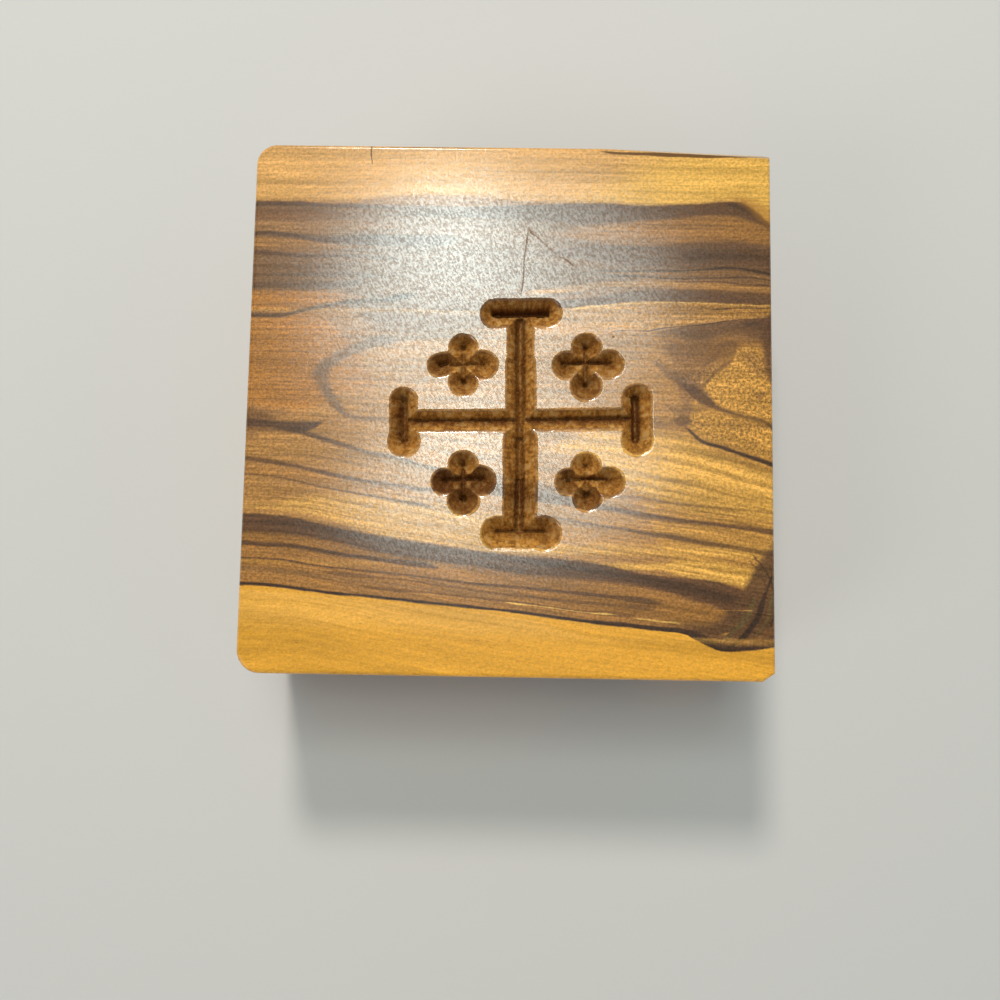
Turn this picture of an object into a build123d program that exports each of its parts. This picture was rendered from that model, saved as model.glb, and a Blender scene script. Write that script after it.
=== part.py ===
"""Olive wood rosary box: a hollowed base, a carved lid, two brass butt hinges and two pairs of magnets.

Millimetres, +Z up, -Y to the front. The origin is the centre of the base's bottom face.
The lid turns about the hinge pins, which lie along X behind the rear faces.
"""

import os
from math import radians, tan

from build123d import *

# Block, as the base and lid are sanded together
box_width = 76.0
box_depth = 77.7
base_height = 22.0
lid_thickness = 9.8
joint_gap = 0.2

# Corners and edges, sanded by hand and all unlike
rear_left_radius = 3.0
front_left_radius = 3.3
rear_right_radius = 0.9
front_right_side_cut = 1.2
front_right_front_cut = 1.8
top_round = 0.6
bottom_ease = 0.6
joint_ease = 0.4

# Facet sanded on the lid's top rear edge, growing towards the right corner
facet_start_x = 8.0
facet_inset = 1.45
facet_drop = 2.4

# Turned well for the beads, and the matching recess in the lid
well_diameter = 60.0
well_depth = 16.5
well_floor_ease = 1.5
recess_diameter = 60.0
recess_depth = 3.0
rim_ease = 0.6

# Carving: a pointed bit plunged and drawn along straight strokes
bit_half_angle = 45.0
carving_x = 1.55
carving_y = -2.4
beam_half_height = 15.95
beam_half_width = 16.8
upright_radius = 2.25
crossbeam_radius = 1.9
bar_radius = 2.3
end_bar_half_length = 3.5
side_bar_half_length = 2.9
crosslets_middle_x = 2.3
crosslet_x = 8.95
crosslet_y = 8.5
petal_x = 2.9
petal_y = 2.5
petal_radius = 2.2
petal_link_radius = 1.5

# Butt hinges, let into the joint with their barrels half outside the rear faces
hinge_side_inset = 16.0
hinge_length = 18.0
leaf_reach = 7.5
leaf_thickness = 0.8
leaf_corner_radius = 0.8
leaf_side_clearance = 0.1
barrel_radius = 1.4
barrel_clearance = 0.25
knuckle_count = 3
knuckle_gap = 0.12
pin_radius = 0.6
pin_clearance = 0.05
pin_stand_out = 0.1
pin_end_sink = 0.1

# Countersunk screws, two to a leaf
screw_spread = 10.0
screw_inset = 4.3
screw_length = 6.0
screw_shank_radius = 0.65
screw_head_radius = 1.45
screw_head_sink = 0.05
screw_clearance = 0.05

# Disc magnets, glued into the front corners
magnet_radius = 2.5
magnet_thickness = 2.0
magnet_side_inset = 10.0
magnet_front_inset = 9.4
magnet_side_clearance = 0.05
magnet_sink = 0.1

# Places worked out from the sizes
right_x = box_width / 2
rear_y = box_depth / 2
front_y = -box_depth / 2
pin_y = rear_y + pin_stand_out
pin_z = base_height + joint_gap / 2
lid_bottom = base_height + joint_gap
lid_top = lid_bottom + lid_thickness
hinge_x = right_x - hinge_side_inset
magnet_x = right_x - magnet_side_inset
magnet_y = front_y + magnet_front_inset
screw_y = pin_y - screw_inset
screw_head_height = screw_head_radius - screw_shank_radius
trough_radius = barrel_radius + barrel_clearance
cut_over = 1.0
sides = {"left": -1, "right": 1}


def plan_outline():
    """The block seen from above: a rectangle with three rounded corners and one cut one."""
    plan = Rectangle(box_width, box_depth)
    rounds = [
        (-right_x, rear_y, rear_left_radius),
        (-right_x, front_y, front_left_radius),
        (right_x, rear_y, rear_right_radius),
    ]
    for corner_x, corner_y, radius in rounds:
        corner = plan.vertices().sort_by_distance((corner_x, corner_y, 0))[0]
        plan = fillet(corner, radius)
    corner_cut = Polygon(
        (right_x - front_right_front_cut, front_y),
        (right_x, front_y),
        (right_x, front_y + front_right_side_cut),
        align=None,
    )
    return plan - corner_cut


def upright_cylinder(radius, low, high, x=0.0, y=0.0):
    """A cylinder along Z from one height to another."""
    return Pos(x, y, (low + high) / 2) * Cylinder(radius, high - low)


def lengthwise_cylinder(radius, low, high):
    """A cylinder along X from one place to another."""
    return Pos((low + high) / 2, 0, 0) * Rot(0, 90, 0) * Cylinder(radius, high - low)


def hinge_space(side):
    """The space that one hinge takes up in the wood: a pocket for both leaves and a trough for the barrel."""
    pocket_length = hinge_length + 2 * leaf_side_clearance
    pocket_reach = leaf_reach + leaf_side_clearance
    pocket_height = joint_gap + 2 * leaf_thickness
    pocket = Pos(0, -pocket_reach / 2, 0) * Box(pocket_length, pocket_reach, pocket_height)
    trough = lengthwise_cylinder(trough_radius, -pocket_length / 2, pocket_length / 2)
    return Pos(side * hinge_x, pin_y, pin_z) * (pocket + trough)


def screw_places(side):
    """The X places of one leaf's two screws."""
    return {
        "outer": side * (hinge_x + screw_spread / 2),
        "inner": side * (hinge_x - screw_spread / 2),
    }


def pilot_hole(x, upward):
    """The hole that one screw goes into, from the joint into the wood."""
    depth = joint_gap / 2 + screw_head_sink + screw_length + screw_clearance
    low = pin_z if upward else pin_z - depth
    return upright_cylinder(screw_shank_radius + screw_clearance, low, low + depth, x, screw_y)


def magnet_seat(side, upward):
    """The blind bore that one magnet is glued into."""
    depth = magnet_thickness + magnet_sink
    low = lid_bottom - cut_over if upward else base_height - depth
    radius = magnet_radius + magnet_side_clearance
    return upright_cylinder(radius, low, low + depth + cut_over, side * magnet_x, magnet_y)


def fittings_space(upward):
    """All that the hinges, screws and magnets take out of the base (or, upward, the lid)."""
    spaces = []
    for side in sides.values():
        spaces.append(hinge_space(side))
        spaces.append(magnet_seat(side, upward))
        spaces += [pilot_hole(x, upward) for x in screw_places(side).values()]
    return spaces


def plunge(x, y, radius):
    """The pit that the bit makes where it's pushed straight down, this wide at the surface."""
    slope = tan(radians(bit_half_angle))
    depth = radius / slope
    reach = radius + cut_over * slope
    return Pos(x, y, lid_top + (cut_over - depth) / 2) * Cone(0, reach, depth + cut_over)


def stroke(x, y, half_x, half_y, radius):
    """The groove of a stroke along X or Y about its middle, this wide at the surface, with pits at its ends."""
    slope = tan(radians(bit_half_angle))
    reach = radius + cut_over * slope
    section = Polygon((0, -radius / slope), (reach, cut_over), (-reach, cut_over), align=None)
    half_length = max(half_x, half_y)
    groove = extrude(Plane.XZ * section, half_length, both=True)
    turn = 90 if half_x > half_y else 0
    middle = Pos(x, y, lid_top) * Rot(0, 0, turn) * groove
    ends = [plunge(x + end * half_x, y + end * half_y, radius) for end in (-1, 1)]
    return [middle] + ends


def crosslet(x, y):
    """A small cross of four round petals, joined by two short strokes."""
    parts = stroke(x, y, petal_x, 0, petal_link_radius) + stroke(x, y, 0, petal_y, petal_link_radius)
    for end in (-1, 1):
        parts.append(plunge(x + end * petal_x, y, petal_radius))
        parts.append(plunge(x, y + end * petal_y, petal_radius))
    return parts


def carving():
    """The cross with a bar on each arm, and a crosslet in each of its quarters."""
    parts = stroke(carving_x, carving_y, 0, beam_half_height, upright_radius)
    parts += stroke(carving_x, carving_y, beam_half_width, 0, crossbeam_radius)
    for end in (-1, 1):
        end_y = carving_y + end * beam_half_height
        side_x = carving_x + end * beam_half_width
        parts += stroke(carving_x, end_y, end_bar_half_length, 0, bar_radius)
        parts += stroke(side_x, carving_y, 0, side_bar_half_length, bar_radius)
        for other_end in (-1, 1):
            place_x = crosslets_middle_x + end * crosslet_x
            place_y = carving_y + other_end * crosslet_y
            parts += crosslet(place_x, place_y)
    return parts


def facet_plane():
    """The plane of the facet on the lid's top rear edge, facing away from the lid."""
    start = Vector(facet_start_x, rear_y, lid_top)
    across = Vector(right_x, rear_y - facet_inset, lid_top)
    down = Vector(right_x, rear_y, lid_top - facet_drop)
    return Plane(origin=start, z_dir=(across - start).cross(down - start))


def make_base():
    """The base: a block with a turned well, and seats for its hinge leaves, screws and magnets."""
    base = extrude(plan_outline(), base_height)
    base = chamfer(base.faces().sort_by(Axis.Z)[0].edges(), bottom_ease)
    base = chamfer(base.faces().sort_by(Axis.Z)[-1].edges(), joint_ease)
    well = upright_cylinder(well_diameter / 2, base_height - well_depth, base_height + cut_over)
    well = chamfer(well.faces().sort_by(Axis.Z)[0].edges(), well_floor_ease)
    base -= well
    mouth = base.faces().sort_by(Axis.Z)[-1].inner_wires()[0].edges()
    base = chamfer(mouth, rim_ease)
    return base - fittings_space(False)


def make_lid():
    """The lid: a slab with a shallow recess under it and the carving on top."""
    lid = Pos(0, 0, lid_bottom) * extrude(plan_outline(), lid_thickness)
    lid = chamfer(lid.faces().sort_by(Axis.Z)[0].edges(), joint_ease)
    lid = fillet(lid.faces().sort_by(Axis.Z)[-1].edges(), top_round)
    lid -= upright_cylinder(recess_diameter / 2, lid_bottom - cut_over, lid_bottom + recess_depth)
    mouth = lid.faces().sort_by(Axis.Z)[0].inner_wires()[0].edges()
    lid = chamfer(mouth, rim_ease)
    lid = split(lid, bisect_by=facet_plane(), keep=Keep.BOTTOM)
    return lid - fittings_space(True) - carving()


def make_leaf(side, upward):
    """One hinge leaf: a plate with every other knuckle, a bore for the pin and two countersunk holes."""
    direction = 1 if upward else -1
    plate = Rectangle(hinge_length, leaf_reach, align=(Align.CENTER, Align.MAX))
    plate = fillet(plate.vertices().sort_by(Axis.Y)[:2], leaf_corner_radius)
    plate_low = joint_gap / 2 if upward else -joint_gap / 2 - leaf_thickness
    leaf = Pos(0, 0, plate_low) * extrude(plate, leaf_thickness)
    pitch = hinge_length / knuckle_count
    for index in range(knuckle_count):
        start = index * pitch - hinge_length / 2
        low = start + (knuckle_gap / 2 if index > 0 else 0)
        high = start + pitch - (knuckle_gap / 2 if index < knuckle_count - 1 else 0)
        if (index % 2 == 1) == upward:
            leaf += lengthwise_cylinder(barrel_radius, low, high)
        else:
            leaf -= lengthwise_cylinder(trough_radius, low - knuckle_gap, high + knuckle_gap)
    leaf -= lengthwise_cylinder(pin_radius + pin_clearance, -hinge_length, hinge_length)
    wide = screw_head_radius + screw_head_sink + screw_clearance
    sink = Cone(wide - leaf_thickness, wide, leaf_thickness)
    for end in (-1, 1):
        middle_z = direction * (joint_gap + leaf_thickness) / 2
        place = Pos(end * screw_spread / 2, -screw_inset, middle_z)
        leaf -= place * Rot(180 if upward else 0, 0, 0) * sink
    return Pos(side * hinge_x, pin_y, pin_z) * leaf


def make_pin(side):
    """One hinge pin, its ends just inside the outer knuckles."""
    half_length = hinge_length / 2 - pin_end_sink
    return Pos(side * hinge_x, pin_y, pin_z) * lengthwise_cylinder(pin_radius, -half_length, half_length)


def make_screw(x, upward):
    """One countersunk screw, plain and blunt, its head at the joint and its shank in the wood."""
    profile = Polyline(
        (0, 0),
        (screw_head_radius, 0),
        (screw_shank_radius, -screw_head_height),
        (screw_shank_radius, -screw_length),
        (0, -screw_length),
        close=True,
    )
    screw = revolve(Plane.XZ * make_face(profile), Axis.Z)
    direction = 1 if upward else -1
    face = pin_z + direction * (joint_gap / 2 + screw_head_sink)
    return Pos(x, screw_y, face) * Rot(180 if upward else 0, 0, 0) * screw


def make_magnet(side, upward):
    """One disc magnet at the bottom of its seat, with its face just under the wood's."""
    low = lid_bottom + magnet_sink if upward else base_height - magnet_sink - magnet_thickness
    return upright_cylinder(magnet_radius, low, low + magnet_thickness, side * magnet_x, magnet_y)


def all_parts():
    """Every piece of the box by its node's name."""
    parts = {"base": make_base(), "lid": make_lid()}
    for label, side in sides.items():
        parts[f"{label}_hinge_pin"] = make_pin(side)
        for owner, upward in (("base", False), ("lid", True)):
            parts[f"{label}_hinge_{owner}_leaf"] = make_leaf(side, upward)
            parts[f"{label}_{owner}_magnet"] = make_magnet(side, upward)
            for place, x in screw_places(side).items():
                parts[f"{label}_{owner}_{place}_screw"] = make_screw(x, upward)
    return parts


os.makedirs("parts", exist_ok=True)
for node_name, solid in all_parts().items():
    export_step(solid, f"parts/{node_name}.step")
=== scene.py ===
"""The looks of an olive wood rosary box: figured wood, a carved lid, brass hinges, screws and magnets.

Sizes that a maker would give in millimetres are written in millimetres, and MM turns them into metres.
The box stands on the floor, with +Z up and its front towards -Y. The figure of the wood is drawn on the
plane of the lid's top and goes down through the block as growth rings do.
"""

import logging
import math
from dataclasses import dataclass, field
from enum import Enum
from typing import Any, Iterable, Sequence

import bmesh
import bpy
import numpy as np
from mathutils import Matrix, Vector
from mathutils.geometry import delaunay_2d_cdt


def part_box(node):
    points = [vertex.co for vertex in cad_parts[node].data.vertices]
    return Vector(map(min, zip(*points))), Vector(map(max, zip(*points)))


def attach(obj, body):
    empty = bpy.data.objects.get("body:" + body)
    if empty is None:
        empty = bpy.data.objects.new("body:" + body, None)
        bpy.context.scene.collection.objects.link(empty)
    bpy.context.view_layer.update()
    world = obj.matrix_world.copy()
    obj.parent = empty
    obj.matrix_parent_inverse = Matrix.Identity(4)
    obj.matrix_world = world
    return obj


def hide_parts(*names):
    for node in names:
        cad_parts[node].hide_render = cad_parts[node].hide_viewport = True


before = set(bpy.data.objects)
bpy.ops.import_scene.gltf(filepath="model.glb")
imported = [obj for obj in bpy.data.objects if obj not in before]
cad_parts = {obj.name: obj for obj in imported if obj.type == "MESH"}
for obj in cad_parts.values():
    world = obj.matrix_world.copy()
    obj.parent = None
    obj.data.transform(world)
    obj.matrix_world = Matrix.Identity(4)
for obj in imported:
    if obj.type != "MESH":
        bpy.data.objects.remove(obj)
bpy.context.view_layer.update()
log = logging.getLogger("rosary_box")

MM = 0.001
PER_METRE = 1000.0
# Places closer than this, in metres, are one place, and level with one another
MERGE_WITHIN = 1e-6
LEVEL_WITHIN = 2e-6
# The same for the points of the flat that is filled round the cuts, in mm
FILL_WITHIN = 1e-7
# A normal whose Z is above this belongs to the flat top
UPWARD = 0.8
# Edges sharper than this many degrees stay sharp
SHARP_FROM = 32.0
SIDES = ("left", "right")

Colour = tuple[float, float, float, float]
Point = tuple[float, float]
Line = tuple[Point, ...]


def srgb(red: float, green: float, blue: float) -> Colour:
    """Turns a colour written as sRGB, 0 to 255, into the linear colour that a shader takes.

    Args:
        red: The red share.
        green: The green share.
        blue: The blue share.

    Returns:
        The linear colour, opaque.
    """
    shares = [value / 255 for value in (red, green, blue)]
    linear = [v / 12.92 if v <= 0.04045 else ((v + 0.055) / 1.055) ** 2.4 for v in shares]
    return (linear[0], linear[1], linear[2], 1.0)


class Tone(Enum):
    """The named colours of olive wood."""

    SAPWOOD = (230, 166, 52)
    FRONT_SAPWOOD = (236, 176, 74)
    PALE_SAPWOOD = (240, 190, 96)
    REAR_SAPWOOD = (214, 160, 84)
    BRIGHT_SAPWOOD = (238, 184, 84)
    HEART = (160, 110, 48)
    ORANGE_HEART = (180, 119, 44)
    PALE_HEART = (184, 132, 64)
    GOLDEN_HEART = (196, 142, 60)
    BRIGHT_HEART = (229, 173, 76)
    TAN = (152, 108, 58)
    GREY_BROWN = (116, 83, 50)
    BROWN = (112, 75, 38)
    DARK_BROWN = (91, 60, 33)
    DARKEST = (60, 40, 23)
    KNOT = (98, 66, 36)
    KNOT_GREEN = (104, 84, 44)
    CUT = (202, 138, 58)
    # The dark brown of the cuts' painted shade and scorched channels, and of their dark torn fibres
    CUT_CORE = (72, 30, 4)
    CUT_FIBRE = (214, 170, 104)
    UNTOUCHED = (255, 255, 255)
    FRESHLY_CUT = (236, 226, 196)

    @property
    def colour(self) -> Colour:
        """The tone as a linear colour."""
        return srgb(*self.value)


class Graph:
    """Short ways to add nodes to one node tree."""

    def __init__(self, tree: bpy.types.NodeTree) -> None:
        """Starts on a tree.

        Args:
            tree: The tree that the nodes go into.
        """
        self.tree = tree

    def node(self, kind: str, **settings: Any) -> bpy.types.Node:
        """Adds a node.

        Args:
            kind: The node's type, such as ShaderNodeMath.
            **settings: Properties of the node and their values.

        Returns:
            The new node.
        """
        made = self.tree.nodes.new(kind)
        for name, value in settings.items():
            setattr(made, name, value)
        return made

    def feed(self, socket: bpy.types.NodeSocket, source: Any) -> None:
        """Links a socket to another, or sets its value.

        Args:
            socket: The input.
            source: An output socket, or a plain value.
        """
        if isinstance(source, bpy.types.NodeSocket):
            self.tree.links.new(source, socket)
        else:
            socket.default_value = source

    def maths(self, operation: str, *terms: Any) -> bpy.types.NodeSocket:
        """Adds a Math node.

        Args:
            operation: What it works out, such as ADD.
            *terms: Its inputs in order.

        Returns:
            The result.
        """
        made = self.node("ShaderNodeMath", operation=operation)
        for socket, term in zip(made.inputs, terms):
            self.feed(socket, term)
        return made.outputs[0]

    def times(self, first: Any, second: Any) -> bpy.types.NodeSocket:
        """The product of two numbers."""
        return self.maths("MULTIPLY", first, second)

    def plus(self, first: Any, second: Any) -> bpy.types.NodeSocket:
        """The sum of two numbers."""
        return self.maths("ADD", first, second)

    def minus(self, first: Any, second: Any) -> bpy.types.NodeSocket:
        """The first number less the second."""
        return self.maths("SUBTRACT", first, second)

    def bump(self, height: Any, strength: float, distance: float) -> bpy.types.NodeSocket:
        """Turns a height into a normal.

        Args:
            height: The height.
            strength: How much of it shows.
            distance: What a height of 1 stands for, in metres.

        Returns:
            The normal.
        """
        made = self.node("ShaderNodeBump")
        self.feed(made.inputs["Strength"], strength)
        self.feed(made.inputs["Distance"], distance)
        self.feed(made.inputs["Height"], height)
        return made.outputs[0]

    def length(self, x: Any, y: Any) -> bpy.types.NodeSocket:
        """Measures a flat vector.

        Args:
            x: Its share along X.
            y: Its share along Y.

        Returns:
            Its length.
        """
        vector = self.combine(x, y, 0.0)
        made = self.node("ShaderNodeVectorMath", operation="LENGTH")
        self.feed(made.inputs[0], vector)
        return made.outputs["Value"]

    def combine(self, x: Any, y: Any, z: Any) -> bpy.types.NodeSocket:
        """Makes a vector of three numbers.

        Args:
            x: The first.
            y: The second.
            z: The third.

        Returns:
            The vector.
        """
        made = self.node("ShaderNodeCombineXYZ")
        for socket, term in zip(made.inputs, (x, y, z)):
            self.feed(socket, term)
        return made.outputs[0]

    def separate(self, vector: Any) -> Sequence[bpy.types.NodeSocket]:
        """Takes a vector apart.

        Args:
            vector: The vector.

        Returns:
            Its three numbers.
        """
        made = self.node("ShaderNodeSeparateXYZ")
        self.feed(made.inputs[0], vector)
        return made.outputs

    def scale(self, vector: Any, factor: float) -> bpy.types.NodeSocket:
        """Makes a vector longer or shorter.

        Args:
            vector: The vector.
            factor: How many times as long it becomes.

        Returns:
            The new vector.
        """
        made = self.node("ShaderNodeVectorMath", operation="SCALE")
        self.feed(made.inputs[0], vector)
        self.feed(made.inputs["Scale"], factor)
        return made.outputs[0]

    def ramp(
        self, value: Any, low: Any, high: Any, to_low: Any = 0.0, to_high: Any = 1.0, smooth: bool = True
    ) -> bpy.types.NodeSocket:
        """Maps one range to another and stops at its ends.

        Args:
            value: The number to map.
            low: The start of its range.
            high: The end of its range.
            to_low: The result at the start.
            to_high: The result at the end.
            smooth: Whether the way between is an S curve.

        Returns:
            The mapped number.
        """
        kind = "SMOOTHSTEP" if smooth else "LINEAR"
        made = self.node("ShaderNodeMapRange", interpolation_type=kind, clamp=True)
        for socket, term in zip(made.inputs, (value, low, high, to_low, to_high)):
            self.feed(socket, term)
        return made.outputs[0]

    def noise(self, vector: Any, scale: float, detail: float, roughness: float) -> bpy.types.NodeSocket:
        """Fractal noise.

        Args:
            vector: Where it is read.
            scale: Its frequency.
            detail: How many finer layers it has.
            roughness: How strong they are.

        Returns:
            Its value, about 0.5 on average.
        """
        made = self.node("ShaderNodeTexNoise")
        inputs = {"Vector": vector, "Scale": scale, "Detail": detail, "Roughness": roughness}
        for label, source in inputs.items():
            self.feed(made.inputs[label], source)
        return made.outputs[0]

    def blend(self, factor: Any, first: Any, second: Any, kind: str = "MIX") -> bpy.types.NodeSocket:
        """Mixes two colours.

        Args:
            factor: How much of the second is taken.
            first: The colour at 0.
            second: The colour at 1.
            kind: The way of mixing.

        Returns:
            The mixed colour.
        """
        made = self.node("ShaderNodeMix", data_type="RGBA", blend_type=kind)
        self.feed(made.inputs[0], factor)
        self.feed(made.inputs[6], first)
        self.feed(made.inputs[7], second)
        return made.outputs[2]

    def curve(self, place: Any, line: Line, reach: float) -> bpy.types.NodeSocket:
        """Reads a smooth curve through chosen points.

        Args:
            place: Where it is read, 0 at -reach and 1 at reach.
            line: Its points, both numbers within the reach.
            reach: The largest number on either axis.

        Returns:
            The curve's height there.
        """
        made = self.node("ShaderNodeFloatCurve")
        self.feed(made.inputs["Value"], place)
        points = made.mapping.curves[0].points
        while len(points) < len(line):
            points.new(0.5, 0.5)
        for point, (x, y) in zip(points, sorted(line)):
            point.location = ((x + reach) / (2 * reach), (y + reach) / (2 * reach))
            point.handle_type = "AUTO_CLAMPED"
        made.mapping.extend = "HORIZONTAL"
        made.mapping.update()
        return self.ramp(made.outputs[0], 0.0, 1.0, -reach, reach, smooth=False)

    def group(self, tree: bpy.types.NodeTree, **inputs: Any) -> bpy.types.Node:
        """Places a shader node group.

        Args:
            tree: The group.
            **inputs: Its inputs by name, with _ for a space.

        Returns:
            The group's node.
        """
        made = self.node("ShaderNodeGroup", node_tree=tree)
        for name, source in inputs.items():
            self.feed(made.inputs[name.replace("_", " ")], source)
        return made


class Group(Graph):
    """A shader node group under construction."""

    def __init__(self, name: str, inputs: dict[str, Any], outputs: dict[str, str]) -> None:
        """Starts a group.

        Args:
            name: The group's name.
            inputs: Its inputs' names and their plain values: a number, or a triple for a vector.
            outputs: Its outputs' names and kinds: Float, Vector or Color.
        """
        super().__init__(bpy.data.node_groups.new(name, "ShaderNodeTree"))
        for label, value in inputs.items():
            kind = "NodeSocketVector" if isinstance(value, tuple) else "NodeSocketFloat"
            socket = self.tree.interface.new_socket(name=label, in_out="INPUT", socket_type=kind)
            socket.default_value = value
        for label, kind in outputs.items():
            self.tree.interface.new_socket(name=label, in_out="OUTPUT", socket_type=f"NodeSocket{kind}")
        self.inputs = self.node("NodeGroupInput").outputs
        self.outputs = self.node("NodeGroupOutput").inputs


class ShapeTree(Graph):
    """A Geometry Nodes tree under construction, whose inputs are a shape's sizes in metres."""

    def __init__(self, name: str, sizes: dict[str, float]) -> None:
        """Starts a tree.

        Args:
            name: The tree's name.
            sizes: Its inputs' names and plain values; a whole number makes a whole-number input.
        """
        super().__init__(bpy.data.node_groups.new(name, "GeometryNodeTree"))
        self.tree.interface.new_socket(name="Geometry", in_out="OUTPUT", socket_type="NodeSocketGeometry")
        for label, value in sizes.items():
            kind = "NodeSocketInt" if isinstance(value, int) else "NodeSocketFloat"
            self.tree.interface.new_socket(name=label, in_out="INPUT", socket_type=kind).default_value = value
        self.tree.interface.new_socket(name="Material", in_out="INPUT", socket_type="NodeSocketMaterial")
        self.inputs = self.node("NodeGroupInput").outputs

    def shape(self, kind: str, inputs: dict[str, Any], **settings: Any) -> bpy.types.NodeSocket:
        """Adds a node that makes or changes geometry.

        Args:
            kind: The node's type without its first words, such as MeshCone.
            inputs: Its inputs by name.
            **settings: Properties of the node and their values.

        Returns:
            Its first output.
        """
        made = self.node(f"GeometryNode{kind}", **settings)
        for label, source in inputs.items():
            self.feed(made.inputs[label], source)
        return made.outputs[0]

    def raised(self, geometry: bpy.types.NodeSocket, height: Any) -> bpy.types.NodeSocket:
        """Geometry moved up by a height."""
        return self.shape("Transform", {"Geometry": geometry, "Translation": self.combine(0.0, 0.0, height)})

    def join(self, parts: Iterable[bpy.types.NodeSocket]) -> bpy.types.NodeSocket:
        """Puts several parts into one geometry.

        Args:
            parts: The parts.

        Returns:
            All of them as one.
        """
        made = self.node("GeometryNodeJoinGeometry")
        for part in parts:
            self.tree.links.new(part, made.inputs[0])
        return made.outputs[0]

    def pair(self, side: Any, row: Any, height: Any) -> bpy.types.NodeSocket:
        """Sets two points, to the left and right of the middle.

        Args:
            side: How far each is from the middle.
            row: Their place along Y.
            height: Their height.

        Returns:
            The points.
        """
        start = self.combine(self.times(side, -1.0), row, height)
        offset = self.combine(self.times(side, 2.0), 0.0, 0.0)
        return self.shape("MeshLine", {"Count": 2, "Start Location": start, "Offset": offset}, mode="OFFSET")

    def finish(self, geometry: bpy.types.NodeSocket) -> bpy.types.NodeTree:
        """Ends the tree with plain geometry in the material that it is given.

        Args:
            geometry: What has been built.

        Returns:
            The tree.
        """
        real = self.shape("RealizeInstances", {"Geometry": geometry})
        dressed = self.shape("SetMaterial", {"Geometry": real, "Material": self.inputs["Material"]})
        self.tree.links.new(dressed, self.node("NodeGroupOutput").inputs[0])
        return self.tree


@dataclass(frozen=True)
class Band:
    """A band of another colour in the wood, between a rear and a front edge.

    The edges run along X as points (x, y) on the lid's top, in mm. An upright band runs along Y:
    its points are (y, x), and its rear edge is the right one. Where the edges cross, the band ends.
    """

    tone: Tone
    rear: Line
    front: Line
    rear_soft: float = 0.6
    front_soft: float = 0.6
    strength: float = 1.0
    upright: bool = False


def vein(
    tone: Tone, line: tuple[tuple[float, float, float], ...], soft: float = 0.5, strength: float = 1.0,
    upright: bool = False,
) -> Band:
    """A band given by its middle line and half its width at each point.

    Args:
        tone: Its colour.
        line: Points (x, y, half width) in mm.
        soft: How far each edge fades.
        strength: How much it covers.
        upright: Whether it runs along Y, with points (y, x, half width).

    Returns:
        The band.
    """
    cap, beyond, outside = 1.5, -0.6 - soft, 39.0
    points = list(line)
    for end, step in ((0, -cap), (-1, cap)):
        x, y, half = points[end]
        if abs(x) < outside and half > -soft / 2:
            points.insert(0 if end == 0 else len(points), (x + step, y, beyond))
    rear = tuple((x, y + half) for x, y, half in points)
    front = tuple((x, y - half) for x, y, half in points)
    return Band(tone, rear, front, soft, soft, strength, upright)


@dataclass(frozen=True)
class Grain:
    """Noise that is drawn out along the grain: its frequencies along it, across it and downwards."""

    run: float
    rate: float
    deep: float
    detail: float
    roughness: float = 0.5


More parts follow.
